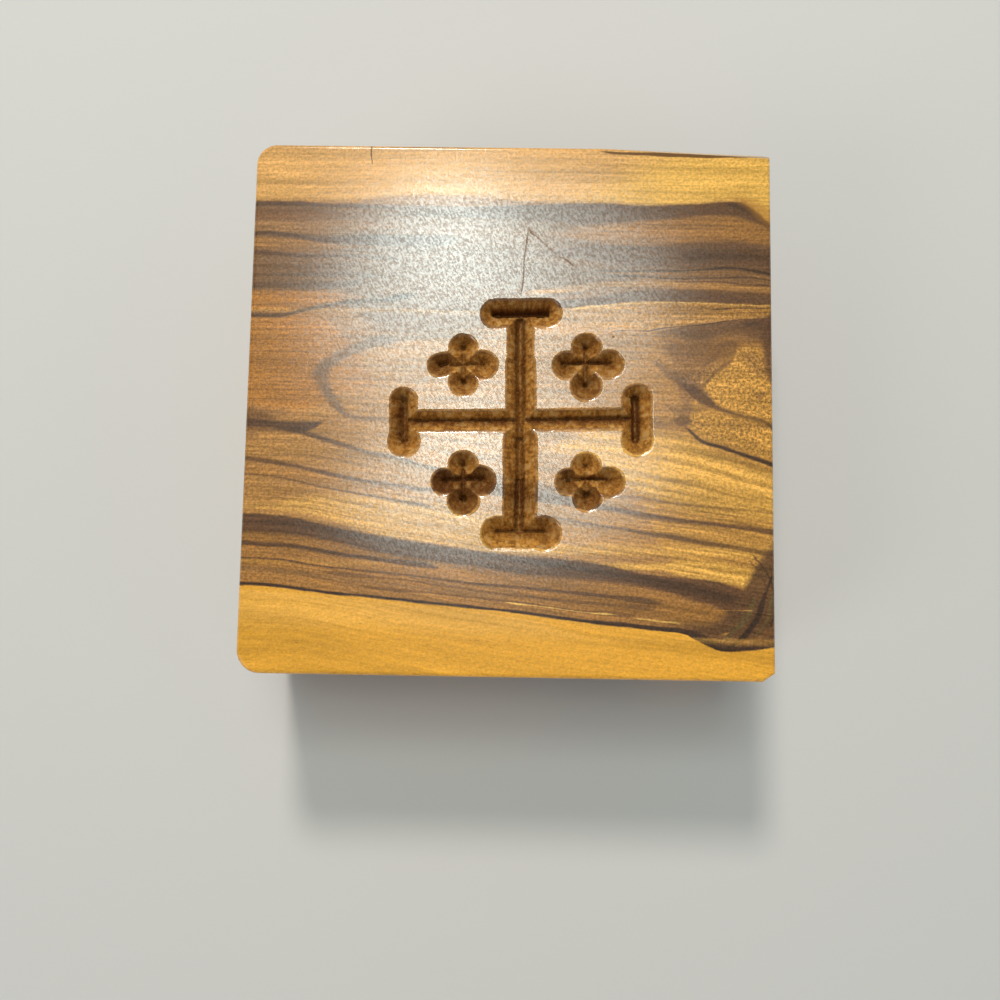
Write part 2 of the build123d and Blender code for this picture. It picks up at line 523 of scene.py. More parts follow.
@dataclass(frozen=True)
class OliveFigure:
    """The figure of the block that the box is cut from.

    It is drawn on the lid's top, and growth rings about a pith below carry it down through the block.
    Lengths are in mm. A band at least as strong as steady covers evenly, and the others in streaks. The last
    bands are sapwood, and calm tells how much less streaky the wood in each of them is. The lacquer is rubbed
    down in slanting strokes, rub_rates giving their frequencies along and across, and in specks.
    """

    top: float = 32.0
    pith_y: float = 3.0
    ring_rise: float = 64.0
    straight_depth: float = 3.0
    reach: float = 40.0
    wobble: float = 0.2
    feather: float = 0.07
    inner_fade: float = 2.5
    grain_fall: Line = ((-40, 0), (-30, 0.3), (-20, 1.9), (-10, 3.5), (0, 5), (15, 7), (30, 9), (40, 10.6))
    steady: float = 0.95
    waves: Grain = Grain(0.06, 0.2, 0.1, 1.0)
    feathers: Grain = Grain(0.4, 2.6, 0.6, 2.0)
    fine: Grain = Grain(0.05, 2.1, 0.12, 4.0, 0.62)
    hair: Grain = Grain(0.16, 6.5, 0.3, 2.0, 0.6)
    broad: Grain = Grain(0.03, 0.4, 0.11, 1.0)
    flakes: Grain = Grain(0.8, 2.6, 1.2, 3.0, 0.7)
    growth: Grain = Grain(0.02, 0.5, 0.05, 1.0)
    pores: Grain = Grain(0.9, 7.0, 5.0, 1.0)
    rub_rates: tuple[float, float] = (3.6, 0.9)
    rub_slant: float = 0.6
    speck_rate: float = 3.3
    least_gloss: float = 0.42
    zones: tuple[Band, ...] = (
        # The brown heart at the back, greyer to the left
        Band(Tone.GREY_BROWN,
             ((-40, 30.1), (-10, 29.7), (10, 30.0), (34, 30.4), (40, 26.5)),
             ((-40, 16.3), (-28, 16.5), (-20, 18.0), (-10, 19.6), (4, 20.0), (12, 18.6), (20, 18.9),
              (40, 17.6)), 0.5, 1.6, 0.85),
        Band(Tone.TAN,
             ((-40, 27.2), (-28, 27.4), (-18, 26.6), (-12, 26.0)),
             ((-40, 25.2), (-28, 25.2), (-18, 26.2), (-12, 26.4)), 0.9, 0.7, 0.75),
        Band(Tone.HEART,
             ((4, 25.6), (10, 26.6), (20, 27.7), (30, 28.7), (35, 28.3), (40, 26.5)),
             ((4, 26.0), (10, 25.0), (15, 24.2), (22, 24.0), (30, 24.6), (40, 24.2)), 0.9, 0.7, 0.85),
        Band(Tone.GREY_BROWN,
             ((-40, 15.6), (-27, 15.6), (-22, 19.0), (-10, 21.0), (4, 21.0), (14, 20.0), (19, 18.6),
              (24, 16.6)),
             ((-40, 16.4), (-28, 16.6), (-23, 13.6), (-19, 10.6), (-12, 9.9), (-4, 10.5), (2, 11.6),
              (6, 14.4), (10, 16.2), (24, 17.2)), 1.6, 2.4, 0.9),
        Band(Tone.HEART,
             ((-40, 24.5), (-32, 24.3), (-27, 23.6), (-22, 23.0)),
             ((-40, 22.7), (-32, 22.3), (-27, 22.5), (-22, 23.2)), 0.6, 0.5, 0.85),
        Band(Tone.PALE_HEART,
             ((-40, -8), (-27, 3.0), (-24, 6.5), (-19, 9.6), (-12, 10.4), (2, 12.0), (12, 14.8), (22, 10.0),
              (26, -2), (40, -14)),
             ((-40, -16.2), (-25, -17.5), (-10, -20.2), (5, -21.8), (20, -24.2), (34, -26.0),
              (40, -27)), 2.5, 0.5, 0.7),
        Band(Tone.ORANGE_HEART,
             ((-40, 12.4), (-30, 13.0), (-24, 9.5), (-18, 0.5)),
             ((-40, -0.5), (-30, -1.0), (-24, 1.5), (-18, 2.5)), 1.4, 1.8, 0.8),
        Band(Tone.ORANGE_HEART,
             ((-40, 16.3), (-30, 16.4), (-24, 16.0), (-18, 15.2)),
             ((-40, 13.6), (-32, 13.7), (-26, 15.0), (-18, 15.8)), 0.5, 0.4, 0.9),
        Band(Tone.GOLDEN_HEART,
             ((10, -12.0), (18, -9.0), (24, -6.5), (28, 4.5), (32, 8.0), (36, 8.5), (40, 7.5)),
             ((10, -8.0), (18, -12.5), (24, -22.5), (30, -24.0), (40, -25)), 2.5, 1.0, 0.8),
        Band(Tone.BRIGHT_HEART,
             ((4, -7.0), (9, -4.6), (14, -3.6), (24, -4.0), (30, -6.8), (40, -9.8)),
             ((4, -6.4), (12, -7.6), (17, -11.0), (24, -14.6), (32, -15.6), (40, -16.4)), 2.2, 2.2, 0.75),
        Band(Tone.BRIGHT_HEART,
             ((-34, -15.0), (-27, -13.4), (-18, -14.0), (-8, -15.0), (2, -17.0), (8, -20.0)),
             ((-34, -15.4), (-27, -16.4), (-18, -19.0), (-8, -20.4), (2, -21.6),
              (8, -21.4)), 1.6, 0.8, 0.55),
        Band(Tone.BRIGHT_HEART,
             ((22, -22.6), (26, -22.0), (34, -23.0), (40, -24.0)),
             ((22, -23.4), (26, -24.4), (31, -25.0), (40, -27.4)), 0.8, 0.5, 0.85),
        # The mottled brown place between the crack and the golden patches
        vein(Tone.BROWN,
             ((22, 8.6, 0.2), (26, 8.0, 1.6), (30, 8.3, 1.9), (33, 8.6, 1.4), (35.5, 9.0, 0.6)), 2.4, 0.6),
    )
    flaky: tuple[Band, ...] = (
        Band(Tone.GOLDEN_HEART,
             ((26, 2.0), (28.5, 4.0), (31.5, 6.0), (34, 9.0), (36, 8.5), (37.5, 4.5), (40, 3.5)),
             ((26, 4.0), (28.6, 2.2), (30, 0.6), (33, -0.7), (37, -1.5), (40, -2.6)), 1.4, 0.7, 0.95),
        Band(Tone.GOLDEN_HEART,
             ((25.8, -2.4), (27, -0.9), (30, -0.9), (33, -1.6), (37, -2.4), (40, -3.6)),
             ((25.8, -2.0), (27, -3.4), (29, -4.6), (33, -5.6), (37, -7.0), (40, -8.0)), 0.9, 0.7, 0.95),
        vein(Tone.BROWN, ((33, 7.6, 0.1), (35, 7.0, 1.2), (37, 6.0, 1.6), (40, 6.0, 1.6)), 1.6, 0.6),
        vein(Tone.TAN, ((25, 4.3, 0.3), (27, 4.3, 0.9), (29, 5.2, 0.7), (30.4, 6.4, 0.2)), 0.9, 0.8),
        Band(Tone.GOLDEN_HEART,
             ((6, 13.9), (12, 14.6), (16, 15.35), (20, 15.6), (30, 15.6), (40, 15.3)),
             ((6, 13.4), (14, 12.0), (20, 11.5), (26, 12.4), (32, 13.2), (40, 13.7)), 0.3, 0.8, 0.5),
    )
    veins: tuple[Band, ...] = (
        # The brown edge of the heart under the rear sapwood
        vein(Tone.DARK_BROWN,
             ((-40, 29.4, 0.35), (-36, 29.7, 0.4), (-32, 29.7, 0.35), (-28, 29.5, 0.25), (-20, 29.3, 0.2),
              (-8, 29.0, 0.15)), 0.45, 0.95),
        Band(Tone.BROWN,
             ((-40, 28.8), (-34, 28.9), (-28, 28.7), (-22, 28.2)),
             ((-40, 27.4), (-34, 27.2), (-28, 27.5), (-22, 28.4)), 0.6, 1.0, 0.9),
        Band(Tone.DARK_BROWN,
             ((-22, 27.9), (-10, 29.3), (0, 29.8), (12, 30.3), (20, 30.1), (26, 30.35), (32, 30.8),
              (34, 30.5), (35, 29.9), (36, 29.1), (38, 27.3), (40, 26.0)),
             ((-22, 28.4), (-10, 28.0), (0, 27.6), (12, 27.2), (16, 27.4), (20, 27.8), (24, 28.1),
              (28, 28.6), (32, 28.8), (35, 27.9), (38, 26.6), (40, 25.4)), 0.3, 0.6, 0.85),
        vein(Tone.DARKEST,
             ((32, 30.3, 0.2), (34, 29.9, 0.45), (35.5, 29.2, 0.45), (37, 28.1, 0.3),
              (39.5, 26.4, 0.2)), 0.5, 0.7),
        vein(Tone.DARK_BROWN,
             ((-40, 24.8, 0.3), (-36, 25.1, 0.3), (-32, 24.8, 0.3), (-28, 24.3, 0.35), (-25, 24.2, 0.5),
              (-20, 24.3, 0.9), (-14, 24.2, 1.0), (-8, 24.6, 0.3)), 0.5, 0.95),
        vein(Tone.DARK_BROWN,
             ((-40, 22.1, 0.35), (-36, 22.0, 0.35), (-30, 21.6, 0.25), (-22, 21.8, 0.2),
              (-16, 21.4, 0.15)), 0.5, 0.9),
        vein(Tone.BROWN,
             ((-40, 20.2, 0.2), (-34, 20.0, 0.25), (-28, 20.2, 0.5), (-20, 19.9, 0.3)), 0.6, 0.8),
        vein(Tone.DARK_BROWN,
             ((-40, 18.7, 0.15), (-34, 18.9, 0.2), (-28, 19.0, 0.4), (-20, 18.9, 0.2)), 0.6, 0.7),
        vein(Tone.DARK_BROWN,
             ((-40, 17.5, 0.6), (-34, 17.4, 0.4), (-28, 17.3, 0.5), (-22, 17.9, 0.2)), 0.8, 0.7),
        vein(Tone.DARKEST,
             ((-40, 13.0, 0.35), (-36, 12.8, 0.35), (-33, 12.9, 0.3), (-30, 13.7, 0.25), (-26, 14.5, 0.25),
              (-20, 15.1, 0.2), (-14, 16.2, 0.2)), 0.55, 0.85),
        vein(Tone.HEART, ((-40, 9.7, 0.1), (-34, 9.6, 0.15), (-28, 9.9, 0.1)), 0.5, 0.8),
        # The brown bands at the back right
        Band(Tone.DARK_BROWN,
             ((4, 23.0), (12, 23.9), (20, 24.0), (26, 24.7), (30, 24.9), (34, 24.7), (40, 23.6)),
             ((4, 22.6), (12, 21.6), (20, 20.6), (26, 20.6), (32, 20.3), (40, 19.4)), 0.8, 1.2, 0.62),
        vein(Tone.DARKEST, ((25, 22.4, 0.3), (28, 22.5, 0.9), (34, 22.6, 0.8), (40, 21.6, 0.6)), 1.5, 0.6),
        vein(Tone.DARKEST,
             ((12, 20.0, 0.05), (18, 20.2, 0.12), (24, 20.2, 0.12), (28, 20.5, 0.15), (32, 20.7, 0.2),
              (35, 20.4, 0.2), (40, 19.5, 0.2)), 0.25, 0.9),
        vein(Tone.HEART,
             ((14, 19.7, 0.05), (20, 19.7, 0.15), (26, 19.7, 0.15), (32, 20.0, 0.15),
              (40, 18.8, 0.1)), 0.4, 0.6),
        vein(Tone.DARKEST,
             ((14, 19.1, 0.05), (18, 19.3, 0.12), (24, 18.9, 0.12), (30, 19.1, 0.12), (35, 19.3, 0.12),
              (40, 18.6, 0.12)), 0.25, 0.85),
        vein(Tone.PALE_HEART,
             ((2, 16.4, 0.05), (8, 17.2, 0.4), (14, 17.9, 0.45), (20, 18.1, 0.4), (26, 18.0, 0.2),
              (32, 17.9, 0.12), (40, 17.4, 0.1)), 0.45, 0.85),
        vein(Tone.DARK_BROWN,
             ((24, 18.5, 0.08), (30, 18.5, 0.1), (34, 18.2, 0.1), (40, 18.0, 0.12)), 0.2, 0.8),
        Band(Tone.DARK_BROWN,
             ((2, 14.6), (8, 15.6), (12, 16.2), (16, 16.8), (20, 17.15), (28, 17.3), (34, 17.1),
              (40, 16.8)),
             ((2, 15.0), (8, 14.4), (12, 14.65), (16, 15.4), (20, 15.65), (28, 15.65), (34, 15.5),
              (40, 15.2)), 0.5, 0.25, 0.9),
        vein(Tone.PALE_SAPWOOD,
             ((9, 14.2, 0.05), (14, 14.95, 0.1), (18, 15.35, 0.1), (26, 15.5, 0.08), (33, 15.35, 0.06),
              (40, 15.1, 0.04)), 0.2, 0.7),
        vein(Tone.DARKEST, ((29, 14.5, 0.03), (33, 14.85, 0.07), (40, 14.9, 0.08)), 0.14, 0.9),
        vein(Tone.BROWN, ((30, 14.0, 0.03), (34, 14.2, 0.08), (40, 14.3, 0.1)), 0.2, 0.8),
        # The wedge under the crack
        Band(Tone.DARK_BROWN,
             ((20, 10.8), (24, 11.8), (28, 12.4), (32, 13.0), (36, 13.5), (40, 13.6)),
             ((20, 11.2), (24, 10.8), (26, 9.9), (28, 9.8), (30, 10.6), (33, 10.9), (36, 10.0),
              (40, 9.0)), 0.4, 1.5, 0.85),
        vein(Tone.DARKEST, ((34, 12.6, 0.3), (37, 12.5, 0.7), (40, 12.2, 0.9)), 1.2, 0.6),
        vein(Tone.DARK_BROWN,
             ((3.5, 37.9, 0.1), (6, 37.5, 0.45), (9, 37.2, 0.7), (12.5, 37.4, 1.0),
              (14, 38.0, 0.4)), 1.0, 0.85, True),
        vein(Tone.BROWN, ((28, 6.2, 0.1), (29.5, 7.2, 0.2), (31, 9.2, 0.3), (33, 9.6, 0.1)), 0.6, 0.7),
        vein(Tone.BROWN, ((27.6, 3.0, 0.3), (28.6, 3.8, 0.3), (30, 5.4, 0.3), (32, 6.8, 0.2)), 0.6, 0.8),
        vein(Tone.BROWN, ((34.8, 2.6, 0.1), (36, 1.6, 0.5), (37, 2.4, 0.2)), 0.7, 0.6),
        # The smoky ring, open to the right
        vein(Tone.GREY_BROWN,
             ((-1.7, -23.4, 0.2), (-0.6, -24.7, 0.8), (0.8, -26.0, 0.9), (2.4, -27.0, 1.1),
              (4.0, -27.4, 1.2), (5.2, -26.9, 1.2), (6.2, -25.8, 1.4), (7.2, -24.0, 1.7), (8.2, -21.8, 2.0),
              (9.1, -19.0, 2.4)), 1.3, 0.85, True),
        vein(Tone.GREY_BROWN,
             ((-21, 9.0, 0.2), (-18, 9.4, 0.7), (-14, 9.7, 0.5), (-10, 9.9, 0.4),
              (-4, 10.3, 0.1)), 0.9, 0.7),
        vein(Tone.GREY_BROWN,
             ((-24.5, -1.1, 0.1), (-23, -1.7, 0.35), (-21, -2.0, 0.3), (-17.5, -2.2, 0.15)), 0.6, 0.85),
        # The dark meeting of veins on the right and its branches
        vein(Tone.GREY_BROWN,
             ((21, 6.4, 0.2), (23, 5.0, 0.8), (25, 3.6, 1.0), (27, 2.4, 1.3), (29, 0.9, 0.7)), 1.2, 0.75),
        vein(Tone.DARK_BROWN,
             ((23, 4.3, -0.2), (25, 3.2, 0.3), (27, 1.9, 1.0), (28.5, 0.9, 0.85), (30, -0.1, 0.4),
              (32, -0.8, 0.25), (34, -1.3, 0.2), (36.2, -1.7, 0.25), (38, -2.8, 0.35),
              (40, -3.8, 0.3)), 0.6, 0.9),
        vein(Tone.DARK_BROWN, ((23.9, -2.0, 0.3), (25, -1.95, 0.85), (26.1, -2.1, 0.3)), 0.5, 0.8),
        vein(Tone.GREY_BROWN,
             ((22.5, 0.4, 0.1), (24.5, -0.6, 0.5), (27, -0.4, 0.3), (28.5, 0.1, 0.2)), 0.9, 0.6),
        vein(Tone.DARK_BROWN,
             ((25.5, -3.1, 0.1), (26.8, -4.2, 0.3), (28, -5.0, 0.25), (30, -5.55, 0.25), (32, -6.1, 0.25),
              (34, -6.8, 0.3), (36, -7.4, 0.35), (40, -8.8, 0.4)), 0.35, 1.0),
        vein(Tone.DARKEST,
             ((28.5, -5.2, 0.05), (32, -6.15, 0.12), (36, -7.45, 0.2), (40, -8.9, 0.25)), 0.25, 0.8),
        # The dark zone at the left edge and the line that leaves it
        Band(Tone.BROWN,
             ((-40, -0.7), (-36, -1.2), (-33, -2.3), (-30, -2.6), (-26.5, -2.45)),
             ((-40, -3.9), (-34, -4.3), (-31, -4.6), (-28.6, -4.0), (-26.5, -2.7)), 1.6, 0.6, 0.8),
        vein(Tone.DARK_BROWN,
             ((-40, -3.0, 0.7), (-36, -3.0, 0.55), (-33, -3.3, 0.5), (-30.5, -3.6, 0.8),
              (-28.7, -3.4, 0.65), (-27, -2.8, 0.1)), 0.5, 0.95),
        vein(Tone.DARK_BROWN,
             ((-34, -3.7, 0.05), (-31, -4.1, 0.4), (-28, -4.9, 0.4), (-26, -5.5, 0.35), (-24, -6.1, 0.35),
              (-22, -6.7, 0.3), (-20, -7.25, 0.3), (-16, -8.1, 0.25), (-12, -9.1, 0.2),
              (-9, -9.7, 0.15)), 0.5, 0.9),
        vein(Tone.DARK_BROWN,
             ((-40, -8.1, 0.35), (-36, -8.5, 0.35), (-32, -9.0, 0.35), (-28, -9.7, 0.3), (-24, -10.6, 0.35),
              (-20, -11.4, 0.25), (-16, -12.0, 0.2), (-12, -12.6, 0.3), (-6, -12.0, 0.7), (0, -12.4, 1.0),
              (6, -13.2, 0.9), (10, -14.0, 0.5), (16, -15.0, 0.35), (20, -15.7, 0.4), (24, -16.3, 0.4),
              (28, -16.8, 0.35), (32, -17.2, 0.35), (36, -17.6, 0.4), (40, -18.2, 0.45)), 0.5, 0.9),
        vein(Tone.HEART,
             ((-40, -9.7, 0.7), (-32, -10.2, 0.7), (-24, -11.8, 0.6), (-18, -12.8, 0.2)), 0.6, 0.7),
        vein(Tone.DARK_BROWN,
             ((-40, -10.4, 0.15), (-34, -10.8, 0.15), (-30, -11.5, 0.15), (-26, -12.4, 0.15),
              (-20, -13.4, 0.15), (-15, -14.3, 0.2), (-11, -15.0, 0.1)), 0.35, 0.85),
        vein(Tone.BROWN,
             ((-9, -10.6, 0.1), (-4, -10.6, 0.8), (2, -11.2, 0.7), (8, -12.2, 0.3), (14, -13.0, 0.2),
              (20, -13.5, 0.25), (24, -14.0, 0.25), (28, -14.3, 0.2), (31, -14.6, 0.2), (36, -15.0, 0.1),
              (40, -15.5, 0.1)), 0.5, 0.8),
        vein(Tone.DARK_BROWN,
             ((4, -15.6, 0.1), (8, -16.2, 0.2), (12, -16.9, 0.2), (16, -17.4, 0.2), (20, -18.1, 0.3),
              (24, -18.7, 0.4), (26, -19.1, 0.35), (30, -19.7, 0.35), (34, -20.3, 0.35), (37, -20.8, 0.4),
              (40, -21.4, 0.4)), 0.5, 0.9),
        # The broad dark band and the stripes below it
        Band(Tone.HEART,
             ((-40, -16.3), (-30, -16.6), (-20, -18.7), (-10, -20.4), (0, -21.5), (10, -22.3), (20, -23.9),
              (30, -25.0), (40, -27)),
             ((-40, -26.5), (-30, -26.8), (-20, -27.8), (-10, -28.7), (0, -29.6), (10, -30.6), (20, -31.7),
              (40, -34)), 0.5, 0.3, 0.85),
        Band(Tone.DARK_BROWN,
             ((-40, -16.3), (-36, -16.15), (-33, -16.3), (-30, -16.7), (-26, -17.6), (-20, -18.75),
              (-14, -19.8), (-8, -20.65), (0, -21.6), (8, -22.15), (14, -22.8), (20, -24.0), (26, -24.6),
              (30, -24.9), (36, -26.8), (40, -28)),
             ((-40, -18.9), (-32, -19.1), (-28, -19.5), (-24, -20.2), (-18, -21.6), (-10, -22.9),
              (0, -24.2), (8, -24.7), (14, -25.3), (20, -26.2), (26, -27.6), (32, -29.5),
              (40, -33)), 0.4, 1.0, 0.95),
        vein(Tone.DARKEST,
             ((-40, -17.0, 0.2), (-30, -17.4, 0.3), (-20, -19.4, 0.3), (0, -22.3, 0.3), (10, -23.2, 0.4),
              (20, -25.0, 0.6), (26, -25.9, 0.7), (31, -27.0, 0.8), (34, -28.0, 0.5)), 1.0, 0.5),
        vein(Tone.DARK_BROWN,
             ((-40, -20.3, 0.35), (-35, -20.7, 0.35), (-31, -20.8, 0.3), (-24, -21.7, 0.3),
              (-18, -22.5, 0.3), (-10, -23.6, 0.2)), 0.4, 0.95),
        vein(Tone.DARK_BROWN,
             ((-40, -22.7, 0.1), (-34, -22.7, 0.12), (-26, -23.5, 0.12), (-16, -24.6, 0.15),
              (-6, -25.6, 0.15), (4, -26.2, 0.2), (14, -27.3, 0.25), (22, -28.4, 0.2)), 0.25, 0.9),
        vein(Tone.BROWN,
             ((-26, -24.3, 0.1), (-16, -25.3, 0.15), (-6, -26.5, 0.15), (4, -27.4, 0.2), (14, -28.4, 0.2),
              (24, -29.4, 0.15)), 0.25, 0.8),
        vein(Tone.TAN,
             ((-40, -24.1, 0.4), (-30, -24.5, 0.4), (-20, -25.7, 0.25), (-10, -26.7, 0.15),
              (0, -27.5, 0.12)), 0.4, 0.9),
        vein(Tone.BROWN,
             ((-20, -26.4, 0.1), (-10, -27.3, 0.15), (0, -28.1, 0.2), (10, -29.3, 0.25),
              (18, -30.0, 0.15)), 0.25, 0.8),
        vein(Tone.PALE_SAPWOOD,
             ((0, -28.3, 0.02), (4.5, -28.7, 0.07), (7, -28.95, 0.08), (11, -29.45, 0.06),
              (15.5, -29.85, 0.03)), 0.15, 0.85),
        vein(Tone.PALE_SAPWOOD, ((18.5, -30.3, 0.03), (21, -30.6, 0.1), (24.5, -30.85, 0.06)), 0.18, 0.8),
        vein(Tone.PALE_HEART, ((24.5, -30.8, 0.05), (28, -31.0, 0.12), (30, -31.2, 0.05)), 0.2, 0.8),
        vein(Tone.PALE_HEART, ((-14, -27.2, 0.03), (-8, -27.7, 0.08), (-2, -28.3, 0.05)), 0.18, 0.7),
        Band(Tone.HEART,
             ((20, -29.4), (24, -28.0), (28, -28.1), (30.5, -28.9), (32, -30.0)),
             ((20, -29.2), (24, -29.9), (28, -30.5), (30.5, -30.4), (32, -29.8)), 0.9, 0.5, 0.9),
        # The knot at the front right
        Band(Tone.KNOT,
             ((22, -31.6), (26, -31.0), (30, -30.2), (32.4, -27.6), (34.2, -24.6), (35.8, -21.8),
              (37.6, -19.8), (40, -18.4)),
             ((22, -31.4), (24, -31.9), (27, -33.0), (29, -34.1), (31, -34.6), (34, -34.4),
              (40, -33.4)), 2.4, 0.3, 0.95),
        vein(Tone.HEART,
             ((-33.3, 34, 0.1), (-32.6, 36, 0.7), (-31.4, 37.8, 0.5), (-30.4, 38.6, 0.2)), 0.9, 0.6, True),
        vein(Tone.BROWN,
             ((32.5, -33.6, 0.1), (35, -32.9, 0.35), (38, -31.6, 0.4), (40, -30.8, 0.4)), 0.4, 0.9),
        vein(Tone.DARKEST,
             ((26, -32.0, 0.2), (28, -33.0, 0.6), (30, -33.9, 0.4), (33, -34.1, 0.2), (37, -33.6, 0.15),
              (40, -33.0, 0.15)), 0.5, 0.85),
        vein(Tone.KNOT_GREEN,
             ((-33.2, 30.9, 0.05), (-32, 32.0, 0.35), (-30.5, 33.4, 0.55), (-28.6, 34.6, 0.4),
              (-27, 35.2, 0.1)), 0.6, 0.9, True),
        vein(Tone.DARKEST,
             ((-34.2, 31.4, 0.2), (-33.2, 32.9, 0.55), (-32, 34.0, 0.5), (-30, 35.4, 0.45),
              (-28, 36.2, 0.4), (-26, 36.9, 0.2), (-24, 37.6, 0.1)), 0.35, 0.95, True),
        vein(Tone.KNOT_GREEN,
             ((-32.5, 35.2, 0.05), (-31, 36.4, 0.15), (-29, 37.2, 0.2),
              (-26.5, 37.6, 0.1)), 0.3, 0.9, True),
        vein(Tone.DARKEST,
             ((-31, 37.4, 0.05), (-28.5, 38.0, 0.15), (-26, 37.9, 0.12), (-24, 37.2, 0.12),
              (-22.4, 36.2, 0.12), (-21, 35.0, 0.08)), 0.25, 0.8, True),
        vein(Tone.DARK_BROWN,
             ((-26.5, 37.0, 0.05), (-25, 36.6, 0.12), (-23, 35.6, 0.1),
              (-21.8, 34.6, 0.05)), 0.25, 0.8, True),
        vein(Tone.PALE_HEART, ((29.5, -28.95, 0.02), (32, -28.9, 0.05), (35, -28.8, 0.02)), 0.12, 0.8),
        vein(Tone.PALE_HEART, ((30.4, -32.4, 0.05), (30.9, -32.3, 0.22), (31.4, -32.1, 0.05)), 0.2, 0.9),
        # The crack above the wedge
        vein(Tone.DARKEST,
             ((15, 11.1, 0.03), (18.5, 11.2, 0.05), (20, 11.2, 0.06), (21.5, 11.6, 0.09), (24, 12.0, 0.06),
              (26, 12.2, 0.05), (28, 12.4, 0.06), (30, 12.7, 0.06), (32, 13.0, 0.05), (34, 13.3, 0.03),
              (36, 13.3, 0.01)), 0.1, 1.0),
        # The crisp dark edge of the front sapwood, and the sapwood itself
        vein(Tone.DARKEST,
             ((-40, -26.25, 0.22), (-34, -26.4, 0.22), (-30, -26.7, 0.22), (-26, -27.2, 0.2),
              (-20, -27.75, 0.2), (-14, -28.3, 0.2), (-6, -29.0, 0.22), (0, -29.55, 0.22),
              (8, -30.35, 0.25), (16, -31.15, 0.3), (22, -31.75, 0.35), (25, -32.0, 0.4), (27, -32.9, 0.5),
              (29, -34.0, 0.35), (31, -34.5, 0.25), (34, -34.3, 0.2), (40, -33.3, 0.2)), 0.28, 1.0),
        Band(Tone.SAPWOOD,
             ((-40, -26.55), (-34, -26.65), (-30, -26.95), (-26, -27.45), (-20, -28.0), (-14, -28.55),
              (-6, -29.25), (0, -29.8), (8, -30.6), (16, -31.45), (22, -32.05), (25, -32.35), (27, -33.3),
              (29, -34.3), (31, -34.8), (34, -34.6), (40, -33.6)),
             ((-40, -40.0), (40, -40.0)), 0.25, 1.0),
        Band(Tone.FRONT_SAPWOOD,
             ((-40, -27.0), (-30, -27.4), (-20, -28.4), (-6, -29.6), (4, -31.0), (12, -33.0)),
             ((-40, -31.6), (-30, -32.0), (-20, -31.8), (-10, -32.4), (0, -33.0),
              (12, -32.8)), 0.6, 3.0, 0.8),
        *(
            Band(
                tone,
                ends,
                ((-40, 30.2), (-32, 30.4), (-25, 30.3), (-16, 31.0), (-6, 31.1), (4, 30.5), (12, 30.5),
                 (20, 30.3), (26, 30.5), (32, 31.0), (34, 30.8), (35, 30.2), (36, 29.4), (38, 27.6),
                 (40, 26.4)),
                soft, 0.9,
            )
            for tone, ends, soft in (
                (Tone.REAR_SAPWOOD, ((-40, 40.0), (40, 40.0)), 1.0),
                (Tone.BRIGHT_SAPWOOD, ((-40, 18.0), (0, 24.0), (26, 44.0), (40, 44.0)), 9.0),
            )
        ),
    )
    calm: tuple[float, ...] = (1.0, 1.0, 0.4, 0.4)
    # Scratches, and painted shade: a halo where the right edge rounds over near the rear, and a line along
    # the bevelled rear edge. All of them darken the wood and dull its lacquer
    scratches_and_edge_shade: tuple[Band, ...] = (
        # Painted shade where the lid's right edge rounds over near the rear
        vein(Tone.HEART,
             ((32.6, 31.3, 0.1), (34.5, 30.6, 0.7), (36.2, 29.4, 1.2), (39.0, 27.8, 1.4)), 1.6, 0.62),
        vein(Tone.DARKEST,
             ((36.0, -20.6, 0.03), (37.0, -20.7, 0.08), (38.2, -20.75, 0.1),
              (39.2, -20.75, 0.1)), 0.14, 0.9, True),
        vein(Tone.BROWN,
             ((16.0, 1.5, 0.04), (19.0, 1.7, 0.09), (22.5, 2.1, 0.09), (26.0, 2.5, 0.04)), 0.14, 0.8, True),
        vein(Tone.BROWN,
             ((20.5, 9.0, 0.04), (22.5, 6.8, 0.09), (24.5, 4.6, 0.09), (26.5, 2.5, 0.04)), 0.14, 0.8, True),
        vein(Tone.DARKEST, ((14.8, 10.2, 0.0), (15.0, 10.2, 0.18), (15.2, 10.2, 0.0)), 0.16, 0.8),
        vein(Tone.DARKEST, ((15.6, 9.0, 0.0), (15.8, 9.0, 0.14), (16.0, 9.0, 0.0)), 0.16, 0.8),
        # Painted shadow on the bevel along the rear edge
        vein(Tone.DARK_BROWN,
             ((13, 38.3, 0.05), (17, 38.0, 0.2), (24, 37.9, 0.26), (31, 37.85, 0.3), (37, 37.9, 0.24),
              (39, 38.0, 0.2)), 0.22, 0.9),
    )

    def vein_group(self) -> bpy.types.NodeTree:
        """Builds the group that puts one band's mask between its two edges.

        Returns:
            The group.
        """
        inputs = {"Across": 0.0, "Rear": 0.0, "Front": 0.0}
        inputs |= {"Rear Softness": 0.5, "Front Softness": 0.5, "Strength": 1.0}
        group = Group("vein", inputs, {"Mask": "Float"})
        across, rear, front, rear_soft, front_soft, strength = (group.inputs[label] for label in inputs)
        masks = []
        for inside, soft in (
            (group.minus(rear, across), rear_soft),
            (group.minus(across, front), front_soft),
        ):
            half = group.times(soft, 0.5)
            masks.append(group.ramp(inside, group.times(half, -1.0), half))
        both = group.times(*masks)
        group.feed(group.outputs["Mask"], group.times(both, strength))
        return group.tree

